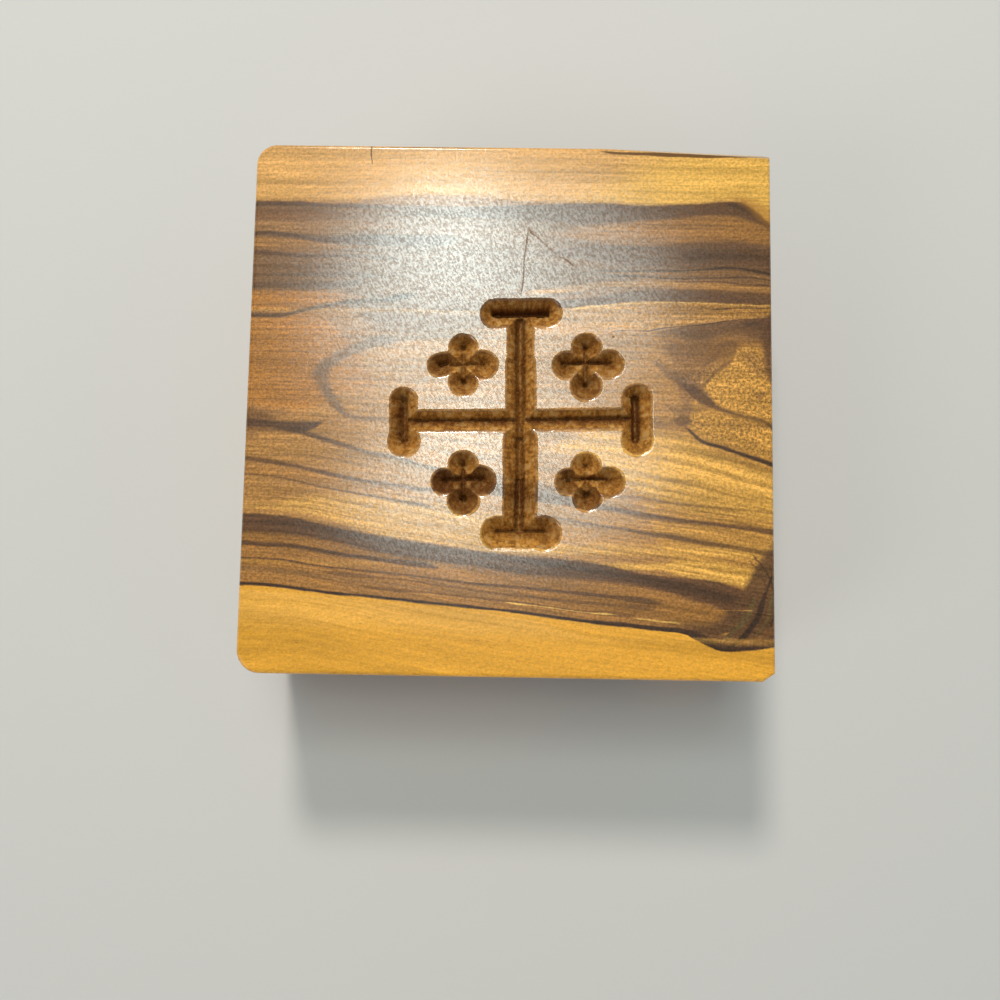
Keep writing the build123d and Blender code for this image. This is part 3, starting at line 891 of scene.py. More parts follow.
    def ring_group(self) -> bpy.types.NodeTree:
        """Builds the group that carries a point of the block up its growth ring to the lid's top.

        Returns:
            The group. Across is the y at which the ring meets the top. Inside is 1 where the ring never
            gets there, and Ring is then its radius.
        """
        labels = ("X", "Y", "Z", "Across", "Inside", "Ring")
        outputs = {label: "Float" for label in labels} | {"Point mm": "Vector"}
        group = Group("growth rings", {"Point": (0.0, 0.0, 0.0), "Kerf": 0.0}, outputs)
        point = group.scale(group.inputs["Point"], PER_METRE)
        x, y, z = group.separate(point)
        depth = group.minus(self.top - self.straight_depth, z)
        depth = group.plus(depth, group.inputs["Kerf"])
        depth = group.maths("MAXIMUM", depth, 0.0)
        fall = group.times(depth, group.minus(self.ring_rise, depth))
        side = group.minus(y, self.pith_y)
        square = group.minus(group.times(side, side), fall)
        reach = group.maths("SQRT", group.maths("MAXIMUM", square, 0.0))
        across = group.maths("MULTIPLY_ADD", reach, group.maths("SIGN", side), self.pith_y)
        ring = group.maths("SQRT", group.maths("MAXIMUM", group.times(square, -1.0), 0.0))
        inside = group.ramp(ring, 0.0, self.inner_fade)
        for label, value in zip(outputs, (x, y, z, across, inside, ring, point)):
            group.feed(group.outputs[label], value)
        return group.tree

    def gloss(self, group: Graph, point: Any, axes: tuple[Any, Any, Any]) -> bpy.types.NodeSocket:
        """Rubs the lacquer down, in fine specks and in short slanting strokes.

        Args:
            group: The group that the nodes go into.
            point: The point in mm.
            axes: The same as three numbers.

        Returns:
            How much gloss is left, up to 1.
        """
        x, y, z = axes
        along, across = self.rub_rates
        strokes = group.combine(
            group.times(group.maths("MULTIPLY_ADD", y, self.rub_slant, x), along),
            group.times(group.maths("MULTIPLY_ADD", x, -self.rub_slant, y), across),
            z,
        )
        places = ((strokes, 1.0), (point, self.speck_rate))
        sheen = group.plus(*(group.noise(place, rate, 1.0, 0.6) for place, rate in places))
        return group.ramp(sheen, 0.82, 1.18, self.least_gloss, 1.0)

    def figure_group(self) -> bpy.types.NodeTree:
        """Builds the group that gives the wood's colour, its streaks and its relief.

        Returns:
            The group.
        """
        group = Group(
            "olive figure",
            {"Point": (0.0, 0.0, 0.0), "Kerf": 0.0},
            {"Color": "Color", "Gloss": "Float", "Relief": "Float"},
        )
        rings = group.group(self.ring_group(), Point=group.inputs["Point"], Kerf=group.inputs["Kerf"]).outputs
        x, y, z = (rings[label] for label in "XYZ")
        point, plain = rings["Point mm"], rings["Across"]

        def grained(kind: Grain, level: Any) -> bpy.types.NodeSocket:
            """Draws out noise along the grain.

            Args:
                kind: The frequencies.
                level: The height across the grain.

            Returns:
                The noise.
            """
            axes = ((x, kind.run), (level, kind.rate), (z, kind.deep))
            place = group.combine(*(group.times(axis, rate) for axis, rate in axes))
            return group.noise(place, 1.0, kind.detail, kind.roughness)

        def sway(source: Any, amount: float, level: Any) -> Any:
            """A level moved to both sides by a noise that is 0 on average."""
            return group.maths("MULTIPLY_ADD", source, 4 * amount, level)

        def cover(band: Band) -> Any:
            """Lays a band over the figure.

            Args:
                band: The band.

            Returns:
                How much it covers each point, 0 to 1.
            """
            place, level = (up, sideways) if band.upright else (right, across)
            return group.group(
                tree,
                Across=level,
                Rear=group.curve(place, band.rear, self.reach),
                Front=group.curve(place, band.front, self.reach),
                Rear_Softness=band.rear_soft,
                Front_Softness=band.front_soft,
                Strength=band.strength,
            ).outputs[0]

        # Every line wavers a little, in long slow waves and in short feathers
        slow = group.minus(grained(self.waves, plain), 0.5)
        quick = group.minus(grained(self.feathers, plain), 0.5)
        across = sway(quick, self.feather, sway(slow, self.wobble, plain))
        sideways = sway(quick, self.feather, sway(slow, self.wobble, x))
        # Each place is worked out once, since a shader holds only so many numbers at a time
        right, up = (group.ramp(v, -self.reach, self.reach, smooth=False) for v in (x, across))
        # The grain runs level at the back and falls to the right at the front
        fall = group.curve(right, self.grain_fall, self.reach)
        grain = group.maths("MULTIPLY_ADD", fall, group.ramp(plain, 6.0, -17.0), across)
        fine, hair, broad = (grained(kind, grain) for kind in (self.fine, self.hair, self.broad))
        flake = grained(self.flakes, group.maths("MULTIPLY_ADD", x, -0.35, grain))
        speck = group.noise(point, 4.2, 2.0, 0.7)
        mottle = group.noise(point, 2.5, 2.0, 0.75)
        colour = group.blend(group.ramp(broad, 0.35, 0.65), Tone.HEART.colour, Tone.TAN.colour)
        tree = self.vein_group()
        lively = group.ramp(fine, 0.3, 0.7, 0.7, 1.15)
        flaky: Any = 0.0
        masks = []
        for band in self.zones + self.flaky + self.veins:
            mask = cover(band)
            if band in self.flaky:
                flaky = group.maths("MAXIMUM", flaky, mask)
            if band.strength < self.steady:
                mask = group.times(mask, lively)
            masks.append(mask)
            colour = group.blend(mask, colour, band.tone.colour)
        calm: Any = 0.0
        for mask, share in zip(masks[-len(self.calm):], self.calm):
            calm = group.maths("MAXIMUM", calm, group.times(mask, share))
        # Rings that never reach the lid's top
        ring = sway(slow, 0.6, sway(quick, 0.2, rings["Ring"]))
        place = group.combine(group.times(ring, 0.42), group.times(x, 0.02), 3.0)
        inner = group.noise(place, 1.0, 3.0, 0.6)
        heart = group.blend(group.ramp(inner, 0.38, 0.62), Tone.DARK_BROWN.colour, Tone.PALE_HEART.colour)
        colour = group.blend(rings["Inside"], colour, heart)
        # Streaks, growth lines, hair lines, flakes and the fine speckle of cut fibres
        lines = group.maths("PINGPONG", group.times(grained(self.growth, grain), 5.0), 0.5)
        lines = group.ramp(lines, 0.0, 0.16, 0.62, 1.0)
        loud = group.minus(1.0, group.times(calm, 0.6))
        light: Any = 1.0
        for source, low, high, amount in (
            (group.ramp(fine, 0.28, 0.72, smooth=False), 0.66, 1.3, loud),
            (lines, 0.7, 1.06, loud),
            (group.ramp(hair, 0.3, 0.7, smooth=False), 0.86, 1.14, loud),
            (group.ramp(mottle, 0.34, 0.66), 0.74, 1.34, flaky),
            (group.ramp(flake, 0.3, 0.7), 0.9, 1.1, group.maths("MULTIPLY_ADD", calm, -0.3, 1.0)),
            (group.ramp(mottle, 0.36, 0.64), 0.74, 1.26, group.maths("MULTIPLY_ADD", calm, -0.62, 1.0)),
            (group.ramp(broad, 0.32, 0.68), 0.88, 1.1, 1.0),
        ):
            shade = group.ramp(source, 0.0, 1.0, low - 1.0, high - 1.0, smooth=False)
            light = group.times(light, group.maths("MULTIPLY_ADD", shade, amount, 1.0))
        tint = group.combine(light, light, group.maths("POWER", light, 1.25))
        colour = group.blend(1.0, colour, tint, "MULTIPLY")
        pores = group.ramp(grained(self.pores, grain), 0.64, 0.72)
        colour = group.blend(group.times(pores, 0.3), colour, Tone.DARK_BROWN.colour)
        # Scratches, and painted shade near the rear right corner and along the rear edge, darken the wood and
        # take its gloss
        painted_light_and_wear: Any = 0.0
        for band in self.scratches_and_edge_shade:
            mask = cover(band)
            colour = group.blend(mask, colour, band.tone.colour)
            painted_light_and_wear = group.maths("MAXIMUM", painted_light_and_wear, mask)
        group.feed(group.outputs["Color"], colour)
        gloss = self.gloss(group, point, (x, y, z))
        group.feed(group.outputs["Gloss"], group.times(gloss, group.minus(1.0, painted_light_and_wear)))
        group.feed(group.outputs["Relief"], group.maths("MULTIPLY_ADD", speck, 0.6, group.times(mottle, 0.4)))
        return group.tree


def new_material(name: str) -> tuple[bpy.types.Material, Graph, bpy.types.Node]:
    """Starts a material.

    Args:
        name: Its name.

    Returns:
        The material, its graph and its Principled BSDF.
    """
    made = bpy.data.materials.new(name)
    made.use_nodes = True
    return made, Graph(made.node_tree), made.node_tree.nodes["Principled BSDF"]


@dataclass(frozen=True)
class WoodFinish:
    """Satin lacquer over olive wood, bare and rougher where the bit has cut.

    Lengths are in mm. The wood is bare from one depth inside a cut's lip to the next, and rim_in and rim_out
    are the depths over which the painted shade along the lip comes and goes. A hollow that was turned on a
    lathe lies between two heights. Its edge fades over a range outside its radius, its floor and mouth over a
    distance, and its wall starts over a range inside the radius.
    """

    name: str
    figure: bpy.types.NodeTree
    kerf: float = 0.0
    roughness: float = 0.3
    cut_roughness: float = 0.62
    specular: float = 0.14
    coat: float = 0.91
    coat_roughness: float = 0.15
    coat_index: float = 1.84
    relief: float = 0.02
    tear: float = 0.05
    hollow: tuple[float, float] = (0.0, 0.0)
    hollow_radius: float = 30.0
    tool_pitch: float = 0.7
    tool_depth: float = 0.02
    half_bare: float = 0.7
    bare_from: tuple[float, float] = (0.07, 0.34)
    bare_dye: float = 0.6
    rim_in: tuple[float, float] = (0.0, 0.16)
    rim_out: tuple[float, float] = (0.5, 0.2)
    torn_rate: float = 4.6
    edge_fade: tuple[float, float] = (0.2, 0.05)
    end_fade: float = 0.1
    wall_from: tuple[float, float] = (1.6, 1.0)

    def material(self) -> bpy.types.Material:
        """Builds the material.

        Returns:
            The material, which reads Object coordinates and the mesh's own "cut" attribute.
        """
        made, graph, shader = new_material(self.name)
        point = graph.node("ShaderNodeTexCoord").outputs["Object"]
        figure = graph.group(self.figure, Point=point, Kerf=self.kerf).outputs
        cut = graph.node("ShaderNodeAttribute", attribute_name="cut")
        opened, core, fuzz = graph.separate(cut.outputs["Vector"])
        place = graph.scale(point, PER_METRE)
        turned, rings = self.turning(graph, place)
        torn = graph.noise(place, self.torn_rate, 3.0, 0.85)
        bare = graph.ramp(opened, *self.bare_from)
        fresh = graph.blend(bare, Tone.UNTOUCHED.colour, Tone.FRESHLY_CUT.colour)
        colour = graph.blend(1.0, figure["Color"], fresh, "MULTIPLY")
        colour = graph.blend(graph.times(bare, self.bare_dye), colour, Tone.CUT.colour)
        rim = graph.times(graph.ramp(opened, *self.rim_in), graph.ramp(opened, *self.rim_out))
        # Painted shade: rim is a dark line along each cut's lip, and core is the cut's shade from the mesh,
        # its channel partly scorched wood. The torn and standing fibres are the cut wood's own texture.
        for mask, share, tone in (
            (rim, 0.3, Tone.CUT_CORE),
            (graph.times(bare, graph.ramp(torn, 0.5, 0.34)), 0.7, Tone.CUT_CORE),
            (graph.times(bare, graph.ramp(fuzz, 0.0, -0.9)), 0.5, Tone.CUT_CORE),
            (graph.times(bare, graph.ramp(fuzz, 0.2, 0.9)), 0.6, Tone.CUT_FIBRE),
            (core, 0.94, Tone.CUT_CORE),
            (graph.times(bare, graph.ramp(torn, 0.54, 0.68)), 0.34, Tone.CUT_FIBRE),
        ):
            colour = graph.blend(graph.times(mask, share), colour, tone.colour)
        graph.feed(shader.inputs["Base Color"], colour)
        matt = graph.maths("MAXIMUM", bare, turned)
        graph.feed(shader.inputs["Roughness"], graph.ramp(matt, 0.0, 1.0, self.roughness, self.cut_roughness))
        shader.inputs["Specular IOR Level"].default_value = self.specular
        lacquer = graph.times(figure["Gloss"], graph.ramp(matt, 0.0, 1.0, self.coat, 0.0))
        graph.feed(shader.inputs["Coat Weight"], lacquer)
        shader.inputs["Coat Roughness"].default_value = self.coat_roughness
        shader.inputs["Coat IOR"].default_value = self.coat_index
        smooth = graph.times(figure["Relief"], self.relief)
        rough = graph.times(graph.times(torn, bare), self.tear)
        height = graph.plus(graph.plus(smooth, rough), rings)
        graph.feed(shader.inputs["Normal"], graph.bump(height, 1.0, MM))
        return made

    def turning(self, graph: Graph, place: Any) -> tuple[Any, Any]:
        """Marks the round hollow that was turned on a lathe.

        Args:
            graph: The material's graph.
            place: The point in mm.

        Returns:
            How unlacquered the wood is there, 0 to half_bare, and the height of the tool's rings in mm.
        """
        x, y, z = graph.separate(place)
        radius = graph.length(x, y)
        inside = graph.ramp(radius, *(self.hollow_radius + fade for fade in self.edge_fade))
        for level, fade in zip(self.hollow, (self.end_fade, -self.end_fade)):
            inside = graph.times(inside, graph.ramp(z, level - fade, level + fade))
        wall = graph.ramp(radius, *(self.hollow_radius - inwards for inwards in self.wall_from), smooth=False)
        run = graph.maths("MULTIPLY_ADD", wall, graph.minus(z, radius), radius)
        ring = graph.maths("SINE", graph.times(run, 2 * math.pi / self.tool_pitch))
        height = graph.times(graph.times(ring, self.tool_depth), inside)
        return graph.times(inside, self.half_bare), height


@dataclass(frozen=True)
class Stroke:
    """One pass of the carver's bit, from start to end on the lid's top, this wide at the surface.

    The narrow tip of the bit leaves a channel along the middle: core is how deep it is for its kind, and
    width is half as wide as it is. The channel is painted dark, partly as shade and partly as scorched wood.
    Painted shade also darkens the slopes towards it, by left on the side that is to the left of the stroke as
    it was cut, or at the back of a pit, and by right on the other, as the light falls unevenly on the two
    sides. The last field, stain, is how much painted shade darkens all of the cut.
    """

    start: Point
    end: Point
    radius: float
    core: float = 1.0
    width: float = 0.42
    left: float = 0.58
    right: float = 0.44
    cut_shade: float = 0.0

    def measure(self, x: np.ndarray, y: np.ndarray) -> tuple[np.ndarray, ...]:
        """Finds how far points are from the stroke's line.

        Args:
            x: Their x, in mm.
            y: Their y, in mm.

        Returns:
            The distance, how far towards +X, towards -Y and to the right of the stroke each point lies from
            the line, all -1 to 1, and how far along the line it is, in mm.
        """
        (ax, ay), (bx, by) = self.start, self.end
        length = math.hypot(bx - ax, by - ay)
        share = np.zeros_like(x)
        if length:
            share = np.clip(((x - ax) * (bx - ax) + (y - ay) * (by - ay)) / length ** 2, 0, 1)
        off_x, off_y = x - ax - share * (bx - ax), y - ay - share * (by - ay)
        distance = np.hypot(off_x, off_y)
        turn = np.arctan2(off_y, off_x) * self.radius / 2
        apart = np.maximum(distance, MERGE_WITHIN)
        east, front = off_x / apart, -off_y / apart
        right = (east * (by - ay) + front * (bx - ax)) / length if length else front
        return distance, east, front, right, share * length + turn


def plunge(
    x: float, y: float, radius: float, core: float = 0.6, width: float = 0.34, cut_shade: float = 0.1,
    rear: float = 0.58,
) -> Stroke:
    """A pit where the bit was pushed straight down, a Stroke of no length."""
    return Stroke((x, y), (x, y), radius, core, width, rear, 0.5, cut_shade)


def eased(share: np.ndarray) -> np.ndarray:
    """A share of 0 to 1 on an S curve."""
    return share * share * (3 - 2 * share)


class Lattice:
    """Smooth random relief from a fixed seed."""

    def __init__(self, seed: int, size: int = 97) -> None:
        """Draws the lattice's values.

        Args:
            seed: The seed.
            size: How many values it has each way before it repeats.
        """
        self.values = np.random.default_rng(seed).uniform(-1, 1, (size, size))
        self.size = size

    def at(self, x: np.ndarray, y: np.ndarray) -> np.ndarray:
        """Reads the relief.

        Args:
            x: The places' x.
            y: Their y.

        Returns:
            The relief there, -1 to 1, with one bump to each unit.
        """
        left, low = np.floor(x).astype(int), np.floor(y).astype(int)
        across, up = eased(x - left), eased(y - low)
        near_x, near_y = left % self.size, low % self.size
        far_x, far_y = (left + 1) % self.size, (low + 1) % self.size
        lower = self.values[near_x, near_y] * (1 - across) + self.values[far_x, near_y] * across
        upper = self.values[near_x, far_y] * (1 - across) + self.values[far_x, far_y] * across
        return lower * (1 - up) + upper * up


@dataclass(frozen=True)
class Carving:
    """The cross with a bar on each arm, and a crosslet in each of its quarters.

    Lengths are in mm. The lips are how far the rounded rim reaches outwards: all round, at the front and
    at the right. The bit leaned back, so a stroke's deepest line lies that far behind its rim's middle.
    Torn fibres start over run_in inside the lip, and the cut's painted shade over shade_fade. The grid
    reaches a margin past the strokes' ends, and its points within a share, snap, of its spacing from the
    outline count as outside, so that no triangle is a sliver.
    """

    strokes: tuple[Stroke, ...] = (
        # The upright, drawn once above the crossing and once below it
        Stroke((1.5, 12.4), (1.53, 6.0), 1.9, 0.7, 0.72, 0.36, 0.58),
        Stroke((1.55, 6.0), (1.75, -2.3), 2.12, 0.55, 0.72, 0.25, 0.52),
        Stroke((1.6, -2.6), (1.7, -5.4), 1.7, 0.5, 0.5, 0.25, 0.4),
        Stroke((1.68, -5.2), (1.75, -11.0), 2.42, 0.52, 0.66, 0.2, 0.36),
        Stroke((1.75, -11.0), (1.72, -14.9), 2.4, 0.85, 0.66, 0.4, 0.5, 0.36),
        Stroke((1.72, -14.9), (1.7, -18.2), 2.34, 0.7, 0.7, 0.4, 0.4),
        # The crossbeam, a little out of level
        Stroke((-15.3, -2.52), (1.5, -2.2), 1.6, 0.62, 0.2, 0.04, 0.95),
        Stroke((1.5, -2.2), (18.4, -1.62), 1.55, 0.62, 0.24, 0.0, 0.95),
        # The four bars
        Stroke((-2.2, 13.55), (5.3, 13.75), 2.12, 1.4, 0.52, 0.55, 0.36),
        Stroke((-1.45, -18.45), (5.25, -18.35), 2.3, 0.6, 0.26, 0.36, 0.66),
        Stroke((-15.3, 0.4), (-15.15, -5.4), 1.98, 0.55, 0.55, 0.4, 0.9),
        Stroke((18.4, 1.15), (18.5, -4.75), 2.15, 0.9, 0.6, 0.25, 0.44),
        plunge(-15.1, -5.45, 2.25),
        plunge(5.25, -18.4, 2.42, 0.2, cut_shade=0.25),
        plunge(18.45, 1.2, 2.2),
        plunge(18.5, -4.8, 2.25),
        # The crosslets: petals, then the short strokes that join them
        plunge(-6.8, 8.4, 2.02), plunge(-3.9, 5.9, 2.15, 0.2), plunge(-6.7, 3.35, 2.05, cut_shade=0.25),
        Stroke((-10.15, 5.75), (-9.2, 6.0), 1.72, 0.6, 0.3, cut_shade=0.62),
        Stroke((-10.4, 5.6), (-3.7, 5.95), 1.3, 0.5, 0.2), Stroke((-6.8, 8.6), (-6.7, 3.3), 1.3, 0.3, 0.3),
        plunge(11.1, 8.6, 2.15, cut_shade=0.25), plunge(14.35, 6.25, 2.1, 0.2, cut_shade=0.25),
        plunge(8.25, 6.05, 2.05, 0.3, cut_shade=0.4), plunge(11.1, 3.1, 2.25, cut_shade=0.5),
        Stroke((7.7, 6.2), (14.7, 6.45), 1.4, 0.8, 0.3), Stroke((11.05, 8.9), (11.05, 3.0), 1.35, 0.5, 0.32),
        plunge(-6.5, -8.85, 2.12, cut_shade=0.25), plunge(-4.0, -11.05, 2.2, 0.4, cut_shade=0.7),
        plunge(-9.0, -11.25, 1.95, cut_shade=0.86), plunge(-6.35, -13.85, 2.25, 0.8, 0.5, cut_shade=0.66),
        Stroke((-9.3, -11.2), (-3.5, -10.85), 1.4, 0.8, 0.34, cut_shade=0.4),
        Stroke((-6.5, -8.4), (-6.35, -14.2), 1.35, 0.6, 0.3, cut_shade=0.4),
        plunge(11.2, -8.8, 2.1, 0.4, 0.3, 0.0, 0.0), plunge(14.5, -10.95, 2.2, 0.1),
        plunge(8.75, -11.0, 1.95, 0.4, cut_shade=0.6), plunge(11.4, -13.1, 2.05, 0.6, 0.5, cut_shade=0.5),
        Stroke((10.7, -10.75), (14.4, -10.65), 1.35, 0.8, 0.24),
        Stroke((8.2, -10.7), (10.4, -10.85), 1.35, 0.5, 0.28),
        Stroke((11.2, -8.8), (11.35, -13.2), 1.3, 0.15, 0.3),
    )
    grid: float = 0.15
    core_wall: float = 0.2
    core_depth: float = 0.75
    lip: float = 0.13
    front_lip: float = 0.42
    side_lip: float = 0.28
    waver: float = 0.07
    fibre: float = 0.06
    lean: float = 0.34
    margin: float = 2.6
    snap: float = 0.12
    run_in: float = 0.5
    shade_fade: float = 0.3
    seeds: tuple[int, int, int] = (11, 23, 47)

    def field(self, x: np.ndarray, y: np.ndarray) -> dict[str, np.ndarray]:
        """Works out the cut surface at points of the lid's top.

        Args:
            x: Their x, in mm.
            y: Their y, in mm.

        Returns:
            "edge", how far inside the cut's outline each point is (below 0 outside), "open", how far inside
            the rounded lip, "height", the surface's height, 0 or lower, all in mm, "core", how much painted
            shade darkens the cut, its channel partly scorched wood, and "fuzz", how far the fibres stand up,
            about -1 to 1.
        """
        # The lattices are read at many frequencies, and each stroke reads them at a place of its own
        waves, fibres, tears = (Lattice(seed) for seed in self.seeds)
        wave = 0.55 * waves.at(x * 0.9, y * 0.9) + 0.45 * waves.at(x * 2.3 + 40, y * 2.3)
        edge, opened = (np.full_like(x, -np.inf) for _ in range(2))
        height, core, fuzz = (np.zeros_like(x) for _ in range(3))
        for number, stroke in enumerate(self.strokes):
            distance, east, front, right, along = stroke.measure(x, y - self.lean)
            reach = stroke.radius + self.lean * front
            lip = self.lip + (self.front_lip - self.lip) * np.clip(front, 0, 1) ** 2
            lip = lip + (self.side_lip - self.lip) * np.clip(east, 0, 1) ** 2
            inside = reach + self.waver * wave - distance
            edge = np.maximum(edge, inside + lip)
            opened = np.maximum(opened, inside)
            rounded = np.where(inside > lip, inside, np.clip(inside + lip, 0, None) ** 2 / (4 * lip))
            rounded = rounded * stroke.radius / reach
            torn = fibres.at(along * 2.7 + 13 * number, distance * 1.2)
            torn = torn + 0.7 * fibres.at(along * 1.6, distance * 3.3 + 5 * number)
            rounded = rounded + self.fibre * torn * np.clip(inside / self.run_in, 0, 1)
            ragged = stroke.width + 0.12 * tears.at(along * 2.2 + 7 * number, distance * 1.5)
            channel = eased(np.clip((ragged - distance) / self.core_wall + 0.5, 0, 1))
            cut = rounded + channel * self.core_depth * stroke.core
            deeper = cut > -height
            # The channel is painted dark, partly as shade in the groove and partly as scorched wood; the flat
            # floor of a wide channel is painted lighter than its walls, as lit
            floor = np.clip((stroke.width - 0.4 - distance) / 0.2, 0, 1)
            painted_light_and_wear = 0.4 * floor * (0.8 + 0.7 * tears.at(x * 3, y * 3))
            dark = channel * (1 - painted_light_and_wear) * min(0.45 + stroke.core * 0.6, 1.0)
            # Painted shade on the slopes: darker towards the channel, more on the side turned from the light,
            # and evenly over all of the cut
            slope = stroke.left + (stroke.right - stroke.left) * (right + 1) / 2
            shade = np.clip(1 - (distance - stroke.width) / (0.75 * stroke.radius), 0, 1) ** (1.6 - slope)
            dark = np.maximum(dark, slope * shade * (1 + 0.35 * tears.at(x * 2.1, y * 2.1)))
            dark = stroke.cut_shade + (1 - stroke.cut_shade) * dark
            core = np.where(deeper, dark, core)
            fuzz = np.where(deeper, torn, fuzz)
            height = np.where(deeper, -cut, height)
        # The painted shade fades in inside the rim, so none of it spreads onto the flat top
        core = core * np.clip(opened / self.shade_fade, 0, 1)
        fuzz = fuzz + 0.8 * tears.at(x * 4.5, y * 3.1)
        return {"edge": edge, "open": opened, "height": height, "core": np.clip(core, 0, 1), "fuzz": fuzz}

    def mesh(self) -> tuple[np.ndarray, np.ndarray, list[list[int]], list[list[int]]]:
        """Covers the cut with triangles, cut off along its outline.

        Returns:
            The vertices' x and y in mm, their triangles, and the outline's closed loops of vertices.
        """
        ends = [point for stroke in self.strokes for point in (stroke.start, stroke.end)]
        margin = self.margin + self.front_lip
        xs, ys = (np.arange(min(axis) - margin, max(axis) + margin, self.grid) for axis in zip(*ends))
        grid_x, grid_y = np.meshgrid(xs, ys)
        edge = self.field(grid_x, grid_y)["edge"]
        near = self.snap * self.grid
        edge = np.where(np.abs(edge) < near, -near, edge)
        places: list[Point] = []
        known: dict[tuple[int, int], int] = {}
        columns = len(xs)

        def corner(index: int) -> int:
            """Finds or makes the vertex at a grid point.

            Args:
                index: The grid point.

            Returns:
                The vertex's number.
            """
            if (index, index) not in known:
                known[index, index] = len(places)
                places.append((float(grid_x.flat[index]), float(grid_y.flat[index])))
            return known[index, index]

        def crossing(one: int, other: int) -> int:
            """Finds or makes the vertex where the outline crosses a grid edge.

            Args:
                one: The grid point at one end.
                other: The grid point at the other end.

            Returns:
                The vertex's number.
            """
            key = (min(one, other), max(one, other))
            if key not in known:
                first, second = key
                share = edge.flat[first] / (edge.flat[first] - edge.flat[second])
                known[key] = len(places)
                places.append((
                    float(grid_x.flat[first] + share * (grid_x.flat[second] - grid_x.flat[first])),
                    float(grid_y.flat[first] + share * (grid_y.flat[second] - grid_y.flat[first])),
                ))
            return known[key]

        triangles: list[list[int]] = []
        follows: dict[int, int] = {}
        inside = edge > 0
        busy = inside[:-1, :-1] | inside[1:, :-1] | inside[:-1, 1:] | inside[1:, 1:]
        for row, column in zip(*np.nonzero(busy)):
            low = int(row) * columns + int(column)
            square = (low, low + 1, low + 1 + columns, low + columns)
            halves = ((0, 1, 2), (0, 2, 3)) if (row + column) % 2 else ((0, 1, 3), (1, 2, 3))
            for half in halves:
                corners = [square[i] for i in half]
                shape: list[int] = []
                cut: list[int] = []
                for one, other in zip(corners, corners[1:] + corners[:1]):
                    if edge.flat[one] > 0:
                        shape.append(corner(one))
                    if (edge.flat[one] > 0) != (edge.flat[other] > 0):
                        vertex = crossing(one, other)
                        shape.append(vertex)
                        cut.append(vertex)
                for index in range(1, len(shape) - 1):
                    triangles.append([shape[0], shape[index], shape[index + 1]])
                if len(cut) == 2:
                    first, second = cut
                    position = shape.index(first)
                    follows_on = shape[(position + 1) % len(shape)] == second
                    start, end = (first, second) if follows_on else (second, first)
                    follows[start] = end
        place = np.array(places)
        return place[:, 0], place[:, 1], triangles, closed_loops(follows)


def closed_loops(follows: dict[int, int]) -> list[list[int]]:
    """Sorts vertices into the loops that they form.

    Args:
        follows: The vertex that comes after each one, which is emptied.

    Returns:
        The loops.
    """
    loops: list[list[int]] = []
    while follows:
        start, vertex = follows.popitem()
        loop = [start]
        while vertex != start:
            loop.append(vertex)
            vertex = follows.pop(vertex)
        loops.append(loop)
    return loops


def copy_merged(node: str) -> bmesh.types.BMesh:
    """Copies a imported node's mesh and joins its loose triangles.

    Args:
        node: The node's name.

    Returns:
        The joined mesh.
    """
    shell = bmesh.new()
    shell.from_mesh(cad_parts[node].data)
    bmesh.ops.remove_doubles(shell, verts=shell.verts, dist=MERGE_WITHIN)
    log.info("copied %s: %d faces", node, len(shell.faces))
    return shell


def place_object(name: str, data: Any) -> bpy.types.Object:
    """Makes an object and links it to the scene.

    Args:
        name: The object's name.
        data: The mesh, lamp or camera that it shows.

    Returns:
        The object.
    """
    made = bpy.data.objects.new(name, data)
    bpy.context.scene.collection.objects.link(made)
    return made


def new_object(name: str, shell: bmesh.types.BMesh, material: bpy.types.Material) -> bpy.types.Object:
    """Turns a finished shell into an object in the scene.

    Args:
        name: The object's name.
        shell: Its mesh, which is freed.
        material: Its material.

    Returns:
        The object.
    """
    mesh = bpy.data.meshes.new(name)
    shell.to_mesh(mesh)
    shell.free()
    mesh.materials.append(material)
    return place_object(name, mesh)


def settle(piece: bpy.types.Object) -> bpy.types.Object:
    """Turns a piece's modifiers into plain mesh.

    Args:
        piece: The piece.

    Returns:
        The same piece, with no modifier and no empty slot left.
    """
    state = bpy.context.evaluated_depsgraph_get()
    ready = piece.evaluated_get(state)
    mesh = bpy.data.meshes.new_from_object(ready, preserve_all_data_layers=True, depsgraph=state)
    piece.modifiers.clear()
    for index in reversed(range(len(mesh.materials))):
        if mesh.materials[index] is None:
            mesh.materials.pop(index=index)
    old, piece.data = piece.data, mesh
    name = old.name
    bpy.data.meshes.remove(old)
    mesh.name = name
    return piece


def grow(name: str, tree: bpy.types.NodeTree, values: dict[str, Any]) -> bpy.types.Object:
    """Makes an object from a Geometry Nodes tree.

    Args:
        name: The object's name.
        tree: The tree.
        values: Its inputs by name.

    Returns:
        The object, with the tree still a modifier.
    """
    made = place_object(name, bpy.data.meshes.new(name))
    modifier = made.modifiers.new("shape", "NODES")
    modifier.node_group = tree
    for socket in tree.interface.items_tree:
        if socket.in_out == "INPUT" and socket.name in values:
            modifier[socket.identifier] = values[socket.name]
    return made


def smooth_shell(shell: bmesh.types.BMesh) -> None:
    """Shades a shell smooth, with its sharper edges left sharp.

    Args:
        shell: The shell.
    """
    for face in shell.faces:
        face.smooth = True
    for edge in shell.edges:
        edge.smooth = len(edge.link_faces) == 2 and edge.calc_face_angle(0.0) < math.radians(SHARP_FROM)


def smooth_piece(piece: bpy.types.Object) -> None:
    """Shades a plain piece smooth, with its sharper edges left sharp.

    Args:
        piece: The piece.
    """
    shell = bmesh.new()
    shell.from_mesh(piece.data)
    smooth_shell(shell)
    shell.to_mesh(piece.data)
    shell.free()


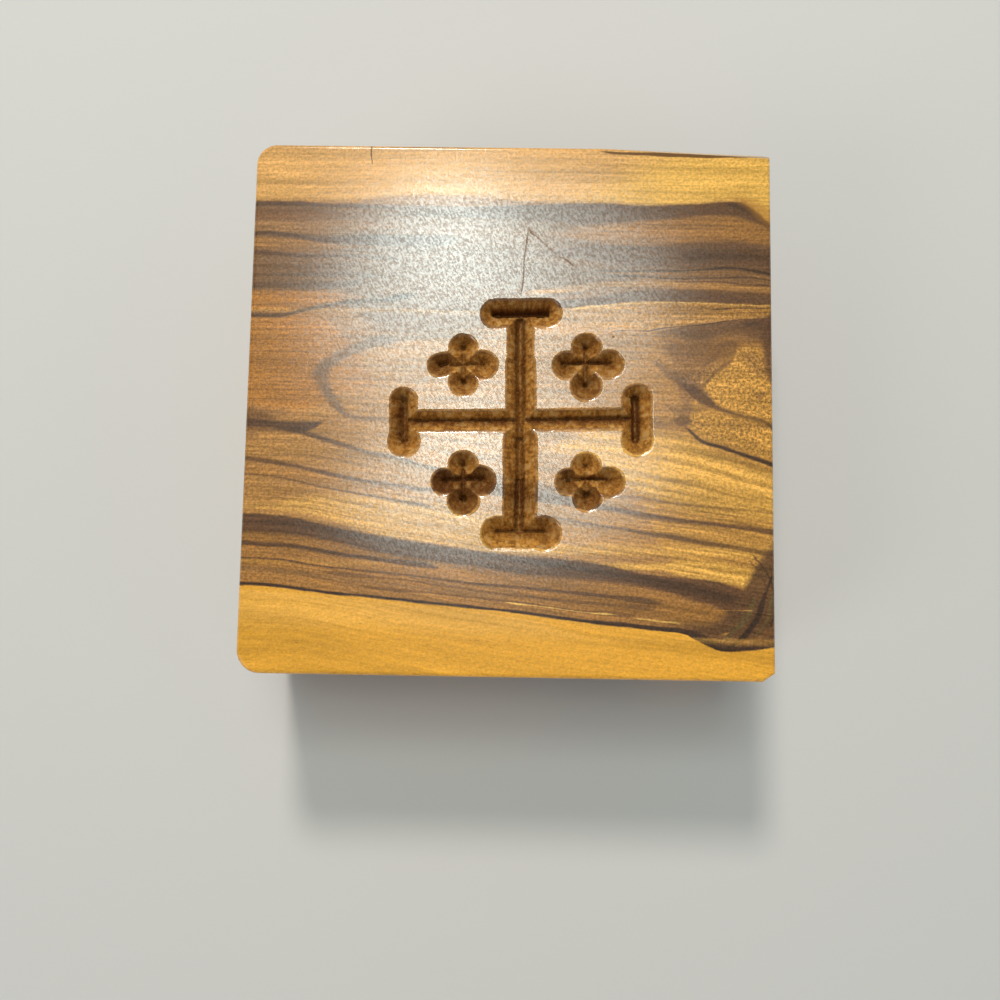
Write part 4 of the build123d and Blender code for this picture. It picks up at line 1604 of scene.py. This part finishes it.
def flatten_faces(piece: bpy.types.Object) -> None:
    """Shades a piece's large faces flat, up to the small ones that round its edges.

    Args:
        piece: The piece.
    """
    weighted = piece.modifiers.new("flat faces", "WEIGHTED_NORMAL")
    weighted.keep_sharp = True
    settle(piece)


def ease_edges(piece: bpy.types.Object, width: float) -> None:
    """Rounds a piece's sharp edges and shades it smooth between them.

    Args:
        piece: The piece.
        width: How much is taken off, in mm.
    """
    bevel = piece.modifiers.new("eased edges", "BEVEL")
    bevel.width = width * MM
    bevel.segments = 2
    bevel.limit_method = "ANGLE"
    bevel.angle_limit = math.radians(SHARP_FROM)
    settle(piece)
    smooth_piece(piece)


def hand_over(piece: bpy.types.Object, body: str, nodes: Iterable[str]) -> bpy.types.Object:
    """Puts a finished piece in its place in the frame.

    Args:
        piece: The piece.
        body: The body that it rides on.
        nodes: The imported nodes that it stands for.

    Returns:
        The piece.
    """
    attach(piece, body)
    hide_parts(*nodes)
    log.info("%s: %d faces", piece.name, len(piece.data.polygons))
    return piece


@dataclass
class Lid:
    """The slab with the carved top and a shallow turned recess under it.

    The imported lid's plain carving lies within reach of the middle and within depth of the top, in mm.
    """

    wood: bpy.types.Material
    carving: Carving = field(default_factory=Carving)
    reach: float = 25.0
    depth: float = 2.8

    def build(self) -> bpy.types.Object:
        """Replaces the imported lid's top with one that has the finer carving.

        Returns:
            The lid, riding on its body.
        """
        shell = copy_merged("lid")
        cut_layer = shell.verts.layers.float_vector.new("cut")
        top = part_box("lid")[1].z
        outline = self.open_top(shell, top)
        smooth_shell(shell)
        x, y, triangles, loops = self.carving.mesh()
        values = self.carving.field(x, y)
        rim = {vertex for loop in loops for vertex in loop}
        heights = np.where(np.isin(np.arange(len(x)), list(rim)), 0.0, values["height"])
        placed = []
        for index in range(len(x)):
            vertex = shell.verts.new((x[index] * MM, y[index] * MM, top + heights[index] * MM))
            # The cut attribute holds how far inside the lip, the painted shade of the cut and its fibres'
            # fuzz
            vertex[cut_layer] = (values["open"][index], values["core"][index], values["fuzz"][index])
            placed.append(vertex)
        for triangle in triangles:
            shell.faces.new([placed[i] for i in triangle]).smooth = True
        self.close_top(shell, outline, [[placed[i] for i in loop] for loop in loops])
        shell.normal_update()
        piece = new_object("carved_lid", shell, self.wood)
        flatten_faces(piece)
        self.level_top(piece.data, top)
        return hand_over(piece, "lid", ["lid"])

    def open_top(self, shell: bmesh.types.BMesh, top: float) -> list[bmesh.types.BMVert]:
        """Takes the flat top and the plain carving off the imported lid.

        Args:
            shell: The lid's mesh.
            top: The top's height in metres.

        Returns:
            The vertices round the hole in order.
        """
        flat, carved = [], []
        reach, floor = self.reach * MM, top - self.depth * MM
        for face in shell.faces:
            places = [vertex.co for vertex in face.verts]
            if all(abs(place.z - top) < LEVEL_WITHIN for place in places):
                flat.append(face)
            elif all(max(abs(place.x), abs(place.y)) < reach and place.z > floor for place in places):
                carved.append(face)
        bmesh.ops.delete(shell, geom=flat + carved, context="FACES")
        for vertex in [v for v in shell.verts if not v.link_faces]:
            shell.verts.remove(vertex)
        shell.edges.ensure_lookup_table()
        rim = [e for e in shell.edges if len(e.link_faces) == 1]
        step: dict[bmesh.types.BMVert, list[bmesh.types.BMVert]] = {}
        for edge in rim:
            one, other = edge.verts
            step.setdefault(one, []).append(other)
            step.setdefault(other, []).append(one)
        first = rim[0].verts[0]
        ring = [first, step[first][0]]
        while True:
            ahead = [v for v in step[ring[-1]] if v is not ring[-2]]
            if ahead[0] is first:
                break
            ring.append(ahead[0])
        assert len(ring) == len(rim), "the lid's top has more than one outline"
        return ring

    @staticmethod
    def level_top(mesh: bpy.types.Mesh, top: float) -> None:
        """Sets the shading of the flat top, and of the outline of the cuts in it, straight up.

        Args:
            mesh: The lid's mesh.
            top: The top's height in metres.
        """
        count = len(mesh.loops)
        normals = np.empty(count * 3)
        mesh.corner_normals.foreach_get("vector", normals)
        normals = normals.reshape(-1, 3)
        corner = np.empty(count, dtype=np.int64)
        mesh.loops.foreach_get("vertex_index", corner)
        height = np.empty(len(mesh.vertices) * 3)
        mesh.vertices.foreach_get("co", height)
        level = np.abs(height.reshape(-1, 3)[corner, 2] - top) < LEVEL_WITHIN
        normals[level & (normals[:, 2] > UPWARD)] = (0.0, 0.0, 1.0)
        mesh.normals_split_custom_set([tuple(n) for n in normals])

    @staticmethod
    def close_top(
        shell: bmesh.types.BMesh, outline: list[bmesh.types.BMVert], holes: list[list[bmesh.types.BMVert]]
    ) -> None:
        """Fills the flat of the top between its outline and the cuts.

        Args:
            shell: The lid's mesh.
            outline: The vertices round the top.
            holes: The vertices round each cut.
        """
        vertices = [v for ring in [outline, *holes] for v in ring]
        edges = []
        offset = 0
        for ring in [outline, *holes]:
            edges += [(offset + i, offset + (i + 1) % len(ring)) for i in range(len(ring))]
            offset += len(ring)
        flat = [Vector((v.co.x, v.co.y)) * PER_METRE for v in vertices]
        found = delaunay_2d_cdt(flat, edges, [], 1, FILL_WITHIN)
        rings = [(outline, False)] + [(ring, True) for ring in holes]
        shapes = [(np.array([(v.co.x, v.co.y) for v in ring]) * PER_METRE, hole) for ring, hole in rings]
        for triangle in found[2]:
            middle = sum((found[0][i] for i in triangle), Vector((0.0, 0.0))) / len(triangle)
            if any(hole and inside_ring(shape, middle) for shape, hole in shapes):
                continue
            corners = [vertices[found[3][i][0]] for i in triangle]
            if len(set(corners)) == len(corners):
                face = shell.faces.new(corners)
                face.smooth = True
                face.normal_update()
                if face.normal.z < 0:
                    face.normal_flip()


def inside_ring(ring: np.ndarray, point: Vector) -> bool:
    """Whether a point lies within a closed outline.

    Args:
        ring: The outline's corners, one row each.
        point: The point.

    Returns:
        True if it does.
    """
    x, y = ring[:, 0], ring[:, 1]
    next_x, next_y = np.roll(x, -1), np.roll(y, -1)
    crosses = (y > point.y) != (next_y > point.y)
    with np.errstate(divide="ignore", invalid="ignore"):
        at = x + (point.y - y) / (next_y - y) * (next_x - x)
    return bool(np.count_nonzero(crosses & (point.x < at)) % 2)


@dataclass
class Base:
    """The block with the turned well."""

    wood: bpy.types.Material

    def build(self) -> bpy.types.Object:
        """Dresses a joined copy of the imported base.

        Returns:
            The base, riding on its body.
        """
        shell = copy_merged("base")
        smooth_shell(shell)
        piece = new_object("turned_base", shell, self.wood)
        flatten_faces(piece)
        return hand_over(piece, "base", ["base"])


@dataclass
class HingePart:
    """A leaf or a pin of a hinge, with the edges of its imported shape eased.

    Faces that meet at less than the same number of degrees are joined.
    """

    node: str
    body: str
    metal: bpy.types.Material
    ease: float = 0.07
    same: float = 0.5

    def build(self) -> bpy.types.Object:
        """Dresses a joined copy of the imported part.

        Returns:
            The part, riding on its body.
        """
        shell = copy_merged(self.node)
        same = math.radians(self.same)
        bmesh.ops.dissolve_limit(shell, angle_limit=same, verts=shell.verts, edges=shell.edges)
        piece = new_object(f"brass_{self.node}", shell, self.metal)
        ease_edges(piece, self.ease)
        return hand_over(piece, self.body, [self.node])


@dataclass
class Screws:
    """The four slotted screws of one body, with tapered threads.

    Lengths are in mm. The neck is a share of the shank's radius. The shank reaches into the head by what
    its overlap leaves of the head's height. The ridge of the thread starts at a share of the core's radius,
    climbs over a share of the screw's length and begins at another.
    """

    body: str
    metal: bpy.types.Material
    face: float
    turn: float = 0.0
    outer: float = 27.0
    inner: float = 17.0
    row: float = 34.65
    length: float = 6.0
    tip: float = 1.1
    shank_radius: float = 0.65
    head_radius: float = 1.45
    head_height: float = 0.8
    slot_width: float = 0.36
    slot_depth: float = 0.36
    thread: float = 0.15
    turns: float = 6.0
    seed: int = 4
    head_facets: int = 40
    shank_facets: int = 32
    neck: float = 0.92
    overlap: float = 0.9
    point_radius: float = 0.02
    clean_rim: float = 0.1
    ridge_radius: float = 0.6
    ridge_climb: float = 0.66
    ridge_foot: float = 0.93

    def tree(self) -> bpy.types.NodeTree:
        """Builds the tree: one screw with its face at 0, placed on two pairs of points.

        Returns:
            The tree.
        """
        lengths = ("outer", "inner", "row", "face", "length", "tip", "shank_radius", "head_radius",
                   "head_height", "slot_width", "slot_depth", "thread")
        shape = ShapeTree("slotted screws", {name: getattr(self, name) * MM for name in lengths}
                          | {"turn": 0.0, "turns": self.turns, "seed": self.seed})
        size = shape.inputs
        cone = {"Vertices": self.head_facets, "Radius Top": size["head_radius"],
                "Radius Bottom": size["shank_radius"], "Depth": size["head_height"]}
        head = shape.raised(shape.shape("MeshCone", cone), shape.minus(0.0, size["head_height"]))
        groove = shape.combine(shape.times(size["head_radius"], 3.0), size["slot_width"],
                               shape.times(size["slot_depth"], 2.0))
        both = {"Mesh 1": head, "Mesh 2": shape.shape("MeshCube", {"Size": groove})}
        head = shape.shape("MeshBoolean", both, operation="DIFFERENCE", solver="EXACT")
        height = shape.separate(shape.node("GeometryNodeInputPosition").outputs[0])[2]
        grime = shape.ramp(height, shape.minus(0.0, size["slot_depth"]), -self.clean_rim * MM, 1.0, 0.0,
                           smooth=False)
        head = shape.shape("StoreNamedAttribute", {"Geometry": head, "Name": "grime", "Value": grime})
        neck = shape.times(size["shank_radius"], self.neck)
        core = shape.minus(neck, size["thread"])
        straight = shape.minus(size["length"], size["tip"])
        shank = {"Vertices": self.shank_facets, "Radius Top": neck, "Radius Bottom": core,
                 "Depth": shape.minus(straight, shape.times(size["head_height"], self.overlap))}
        shank = shape.raised(shape.shape("MeshCone", shank), shape.minus(0.0, straight))
        point = {"Vertices": self.shank_facets, "Radius Top": core, "Radius Bottom": self.point_radius * MM,
                 "Depth": size["tip"]}
        point = shape.raised(shape.shape("MeshCone", point), shape.minus(0.0, size["length"]))
        spiral = shape.shape("CurveSpiral", {
            "Resolution": 20, "Rotations": size["turns"], "End Radius": neck,
            "Start Radius": shape.times(core, self.ridge_radius),
            "Height": shape.times(size["length"], self.ridge_climb),
        })
        ridge = shape.shape("CurvePrimitiveCircle", {"Resolution": 3, "Radius": size["thread"]})
        spiral = shape.shape("CurveToMesh", {"Curve": spiral, "Profile Curve": ridge, "Fill Caps": True})
        foot = shape.times(size["length"], self.ridge_foot)
        spiral = shape.raised(spiral, shape.minus(0.0, foot))
        screw = shape.join((head, shank, point, spiral))
        points = shape.join(shape.pair(size[side], size["row"], size["face"]) for side in ("outer", "inner"))
        random = shape.node("FunctionNodeRandomValue")
        for index, value in ((2, 0.0), (3, math.pi), (8, size["seed"])):
            shape.feed(random.inputs[index], value)
        turn = shape.combine(size["turn"], 0.0, random.outputs[1])
        screws = {"Points": points, "Instance": screw, "Rotation": turn}
        return shape.finish(shape.shape("InstanceOnPoints", screws))

    def build(self, tree: bpy.types.NodeTree) -> bpy.types.Object:
        """Drives the screws into their holes.

        Args:
            tree: The screws' tree.

        Returns:
            The four screws as one piece, riding on their body.
        """
        values = {"face": self.face * MM, "turn": self.turn, "seed": self.seed, "Material": self.metal}
        piece = settle(grow(f"{self.body}_screws", tree, values))
        smooth_piece(piece)
        nodes = [f"{side}_{self.body}_{place}_screw" for side in SIDES for place in ("outer", "inner")]
        return hand_over(piece, self.body, nodes)


@dataclass
class Magnets:
    """The two disc magnets of one body."""

    body: str
    metal: bpy.types.Material
    middle: float
    side: float = 28.0
    row: float = -29.45
    radius: float = 2.5
    thickness: float = 2.0
    ease: float = 0.22
    facets: int = 64

    def tree(self) -> bpy.types.NodeTree:
        """Builds the tree: two discs on a pair of points.

        Returns:
            The tree.
        """
        lengths = ("side", "row", "middle", "radius", "thickness")
        shape = ShapeTree("disc magnets", {name: getattr(self, name) * MM for name in lengths})
        size = shape.inputs
        disc = {"Vertices": self.facets, "Radius": size["radius"], "Depth": size["thickness"]}
        disc = shape.shape("MeshCylinder", disc)
        points = shape.pair(size["side"], size["row"], size["middle"])
        return shape.finish(shape.shape("InstanceOnPoints", {"Points": points, "Instance": disc}))

    def build(self, tree: bpy.types.NodeTree) -> bpy.types.Object:
        """Sets the magnets into their seats.

        Args:
            tree: The magnets' tree.

        Returns:
            Both magnets as one piece, riding on their body.
        """
        piece = grow(f"{self.body}_magnets", tree, {"middle": self.middle * MM, "Material": self.metal})
        ease_edges(piece, self.ease)
        nodes = [f"{side}_{self.body}_magnet" for side in SIDES]
        return hand_over(piece, self.body, nodes)


@dataclass(frozen=True)
class MetalFinish:
    """A small brass or nickel fitting, rubbed bright and tarnished in patches, brushed along X.

    The patches and the brush strokes have their frequencies in mm.
    """

    name: str
    bright: Colour
    tarnish: Colour
    roughness: float
    grain: float
    rougher: float = 0.2
    patch_rate: float = 0.45
    stroke_rates: tuple[float, float, float] = (0.3, 9.0, 9.0)
    stroke_depth: float = 0.01

    def material(self) -> bpy.types.Material:
        """Builds the material.

        Returns:
            The material, which reads Object coordinates and the mesh's own "grime" attribute.
        """
        made, graph, shader = new_material(self.name)
        point = graph.scale(graph.node("ShaderNodeTexCoord").outputs["Object"], PER_METRE)
        axes = graph.separate(point)
        patches = graph.noise(point, self.patch_rate, 4.0, 0.6)
        strokes = graph.combine(*(graph.times(axis, rate) for axis, rate in zip(axes, self.stroke_rates)))
        brushed = graph.noise(strokes, 1.0, 3.0, 0.6)
        grime = graph.node("ShaderNodeAttribute", attribute_name="grime").outputs["Fac"]
        mask = graph.maths("MAXIMUM", graph.ramp(patches, 0.42, 0.68), grime)
        graph.feed(shader.inputs["Base Color"], graph.blend(mask, self.bright, self.tarnish))
        rough = graph.ramp(patches, 0.3, 0.75, self.roughness, self.roughness + self.rougher)
        graph.feed(shader.inputs["Roughness"], rough)
        shader.inputs["Metallic"].default_value = 1.0
        graph.feed(shader.inputs["Normal"], graph.bump(brushed, self.grain, self.stroke_depth * MM))
        return made


@dataclass(frozen=True)
class Spot:
    """A round lamp that faces the lid's middle. Its distance and size are in metres."""

    name: str
    direction: tuple[float, float, float]
    distance: float
    size: float
    brightness: float
    colour: tuple[float, float, float]


@dataclass
class Studio:
    """The floor, the light and the camera.

    The lamps of the softbox are given by the ovals that they cover where the camera sees them mirrored in
    the lid: the middle, half of the size and the radiance. Those ovals and the camera's place are in mm, the
    rest is in metres. The surround is a ramp: two heights of the sky and how bright it is below and above.
    """

    lens: float = 36.04
    lamp_colour: tuple[float, float, float] = (0.845, 0.947, 0.9)
    lamp_distance: float = 0.7
    softbox: tuple[tuple[Point, Point, float], ...] = (
        ((-9.0, 24.5), (8.5, 9.0), 6.0),
        ((-9.0, 17.5), (15.5, 15.0), 5.0),
        ((-3.5, 13.5), (26.0, 19.5), 3.7),
        ((10.0, 18.0), (12.0, 16.0), 1.3),
        ((-6.5, -6.5), (8.5, 7.0), 5.2),
        ((-1.0, -11.0), (22.5, 11.0), 5.6),
        ((-15.0, 31.0), (14.0, 5.0), 1.0),
    )
    spots: tuple[Spot, ...] = (
        Spot("key", (-0.12, 0.66, 0.78), 0.8, 0.13, 77.0, (1.0, 0.915, 0.84)),
        Spot("fill", (-0.66, -0.42, 0.62), 0.8, 0.3, 3.2, (1.0, 0.96, 0.9)),
    )
    surround: tuple[float, float, float, float] = (0.1, 0.6, 0.76, 0.16)
    floor_half: float = 3.0
    floor_colour: Colour = srgb(214, 214, 212)
    camera_place: tuple[float, float, float] = (0.709, -28.066, 174.255)
    camera_turn: tuple[tuple[float, float, float], ...] = (
        (0.99980367, -0.01554088, 0.01229258),
        (0.01669189, 0.99486099, -0.0998649),
        (-0.01067742, 0.10005048, 0.99492507),
    )

    def camera(self) -> None:
        """Places the camera above the box, leaning a little to the front."""
        data = bpy.data.cameras.new("camera")
        data.lens = self.lens
        data.clip_start = 0.005
        data.clip_end = 20.0
        made = place_object("camera", data)
        turn = Matrix(self.camera_turn).to_4x4()
        made.matrix_world = Matrix.Translation(Vector(self.camera_place) * MM) @ turn
        bpy.context.scene.camera = made

    def floor(self) -> None:
        """Lays the plain pale floor."""
        shell = bmesh.new()
        bmesh.ops.create_grid(shell, x_segments=1, y_segments=1, size=self.floor_half)
        material, _, shader = new_material("floor")
        shader.inputs["Base Color"].default_value = self.floor_colour
        shader.inputs["Roughness"].default_value = 0.9
        shader.inputs["Specular IOR Level"].default_value = 0.1
        new_object("floor", shell, material)

    def lamp(
        self, name: str, place: Vector, target: Vector, size: tuple[float, float], brightness: float,
        colour: tuple[float, float, float],
    ) -> None:
        """Hangs an oval lamp.

        Args:
            name: Its name.
            place: Where it hangs, in metres.
            target: What it faces.
            size: Its width along X, and its length.
            brightness: Its radiance.
            colour: Its light's colour.
        """
        data = bpy.data.lights.new(name, "AREA")
        data.shape = "ELLIPSE"
        data.size, data.size_y = size
        data.energy = brightness * math.pi ** 2 * size[0] * size[1] / 4
        data.color = colour
        made = place_object(name, data)
        made.location = place
        made.rotation_euler = (target - place).to_track_quat("-Z", "Y").to_euler()

    def mirrored_lamp(self, name: str, middle: Point, half: Point, brightness: float) -> None:
        """Hangs a lamp so that the camera sees it mirrored in the lid.

        Args:
            name: Its name.
            middle: Where its middle is seen on the lid, in mm.
            half: Half of the oval that it covers there, in mm.
            brightness: Its radiance.
        """
        target = Vector((middle[0] * MM, middle[1] * MM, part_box("lid")[1].z))
        sight = target - Vector(self.camera_place) * MM
        mirrored = Vector((sight.x, sight.y, -sight.z)).normalized()
        spread = 2 * MM * (sight.length + self.lamp_distance) / sight.length
        size = (half[0] * spread, half[1] * spread * mirrored.z)
        self.lamp(name, target + mirrored * self.lamp_distance, target, size, brightness, self.lamp_colour)

    def lights(self) -> None:
        """Lights the box: a softbox that fades outwards, the spots and a pale surround."""
        for index, (middle, half, brightness) in enumerate(self.softbox):
            self.mirrored_lamp(f"softbox {index}", middle, half, brightness)
        target = Vector((0.0, 0.0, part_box("lid")[1].z))
        for spot in self.spots:
            place = target + Vector(spot.direction).normalized() * spot.distance
            self.lamp(spot.name, place, target, (spot.size, spot.size), spot.brightness, spot.colour)
        world = bpy.data.worlds.new("studio")
        world.use_nodes = True
        graph = Graph(world.node_tree)
        sky = world.node_tree.nodes["Background"]
        up = graph.separate(graph.node("ShaderNodeTexCoord").outputs["Object"])[2]
        pale = graph.ramp(up, *self.surround, smooth=False)
        graph.feed(sky.inputs["Color"], graph.combine(pale, pale, pale))
        sky.inputs["Strength"].default_value = 1.0
        bpy.context.scene.world = world

    def build(self) -> None:
        """Builds all of it."""
        self.camera()
        self.floor()
        self.lights()
        bpy.context.scene.view_settings.view_transform = "Standard"


def main() -> None:
    """Builds the box's looks piece by piece."""
    logging.basicConfig(level=logging.INFO, format="%(name)s: %(message)s")
    Studio().build()
    figure = OliveFigure().figure_group()
    Lid(WoodFinish("olive_lid", figure, hollow=(22.7, 25.6)).material()).build()
    Base(WoodFinish("olive_base", figure, kerf=2.0, hollow=(5.0, 21.4)).material()).build()
    brass = MetalFinish("rolled_brass", srgb(214, 172, 98), srgb(150, 108, 56), 0.3, 0.3).material()
    screw_brass = MetalFinish("turned_brass", srgb(222, 182, 108), srgb(96, 66, 34), 0.26, 0.2).material()
    nickel = MetalFinish("nickel_plate", srgb(200, 198, 192), srgb(150, 148, 142), 0.22, 0.1).material()
    for side in SIDES:
        HingePart(f"{side}_hinge_pin", "base", brass, 0.12).build()
        for body in ("base", "lid"):
            HingePart(f"{side}_hinge_{body}_leaf", body, brass).build()
    screws = Screws("base", screw_brass, 21.95, seed=4), Screws("lid", screw_brass, 22.25, math.pi, seed=9)
    magnets = Magnets("base", nickel, 20.9), Magnets("lid", nickel, 23.3)
    for kit in (screws, magnets):
        tree = kit[0].tree()
        for one in kit:
            one.build(tree)


if __name__ == "__main__":
    main()
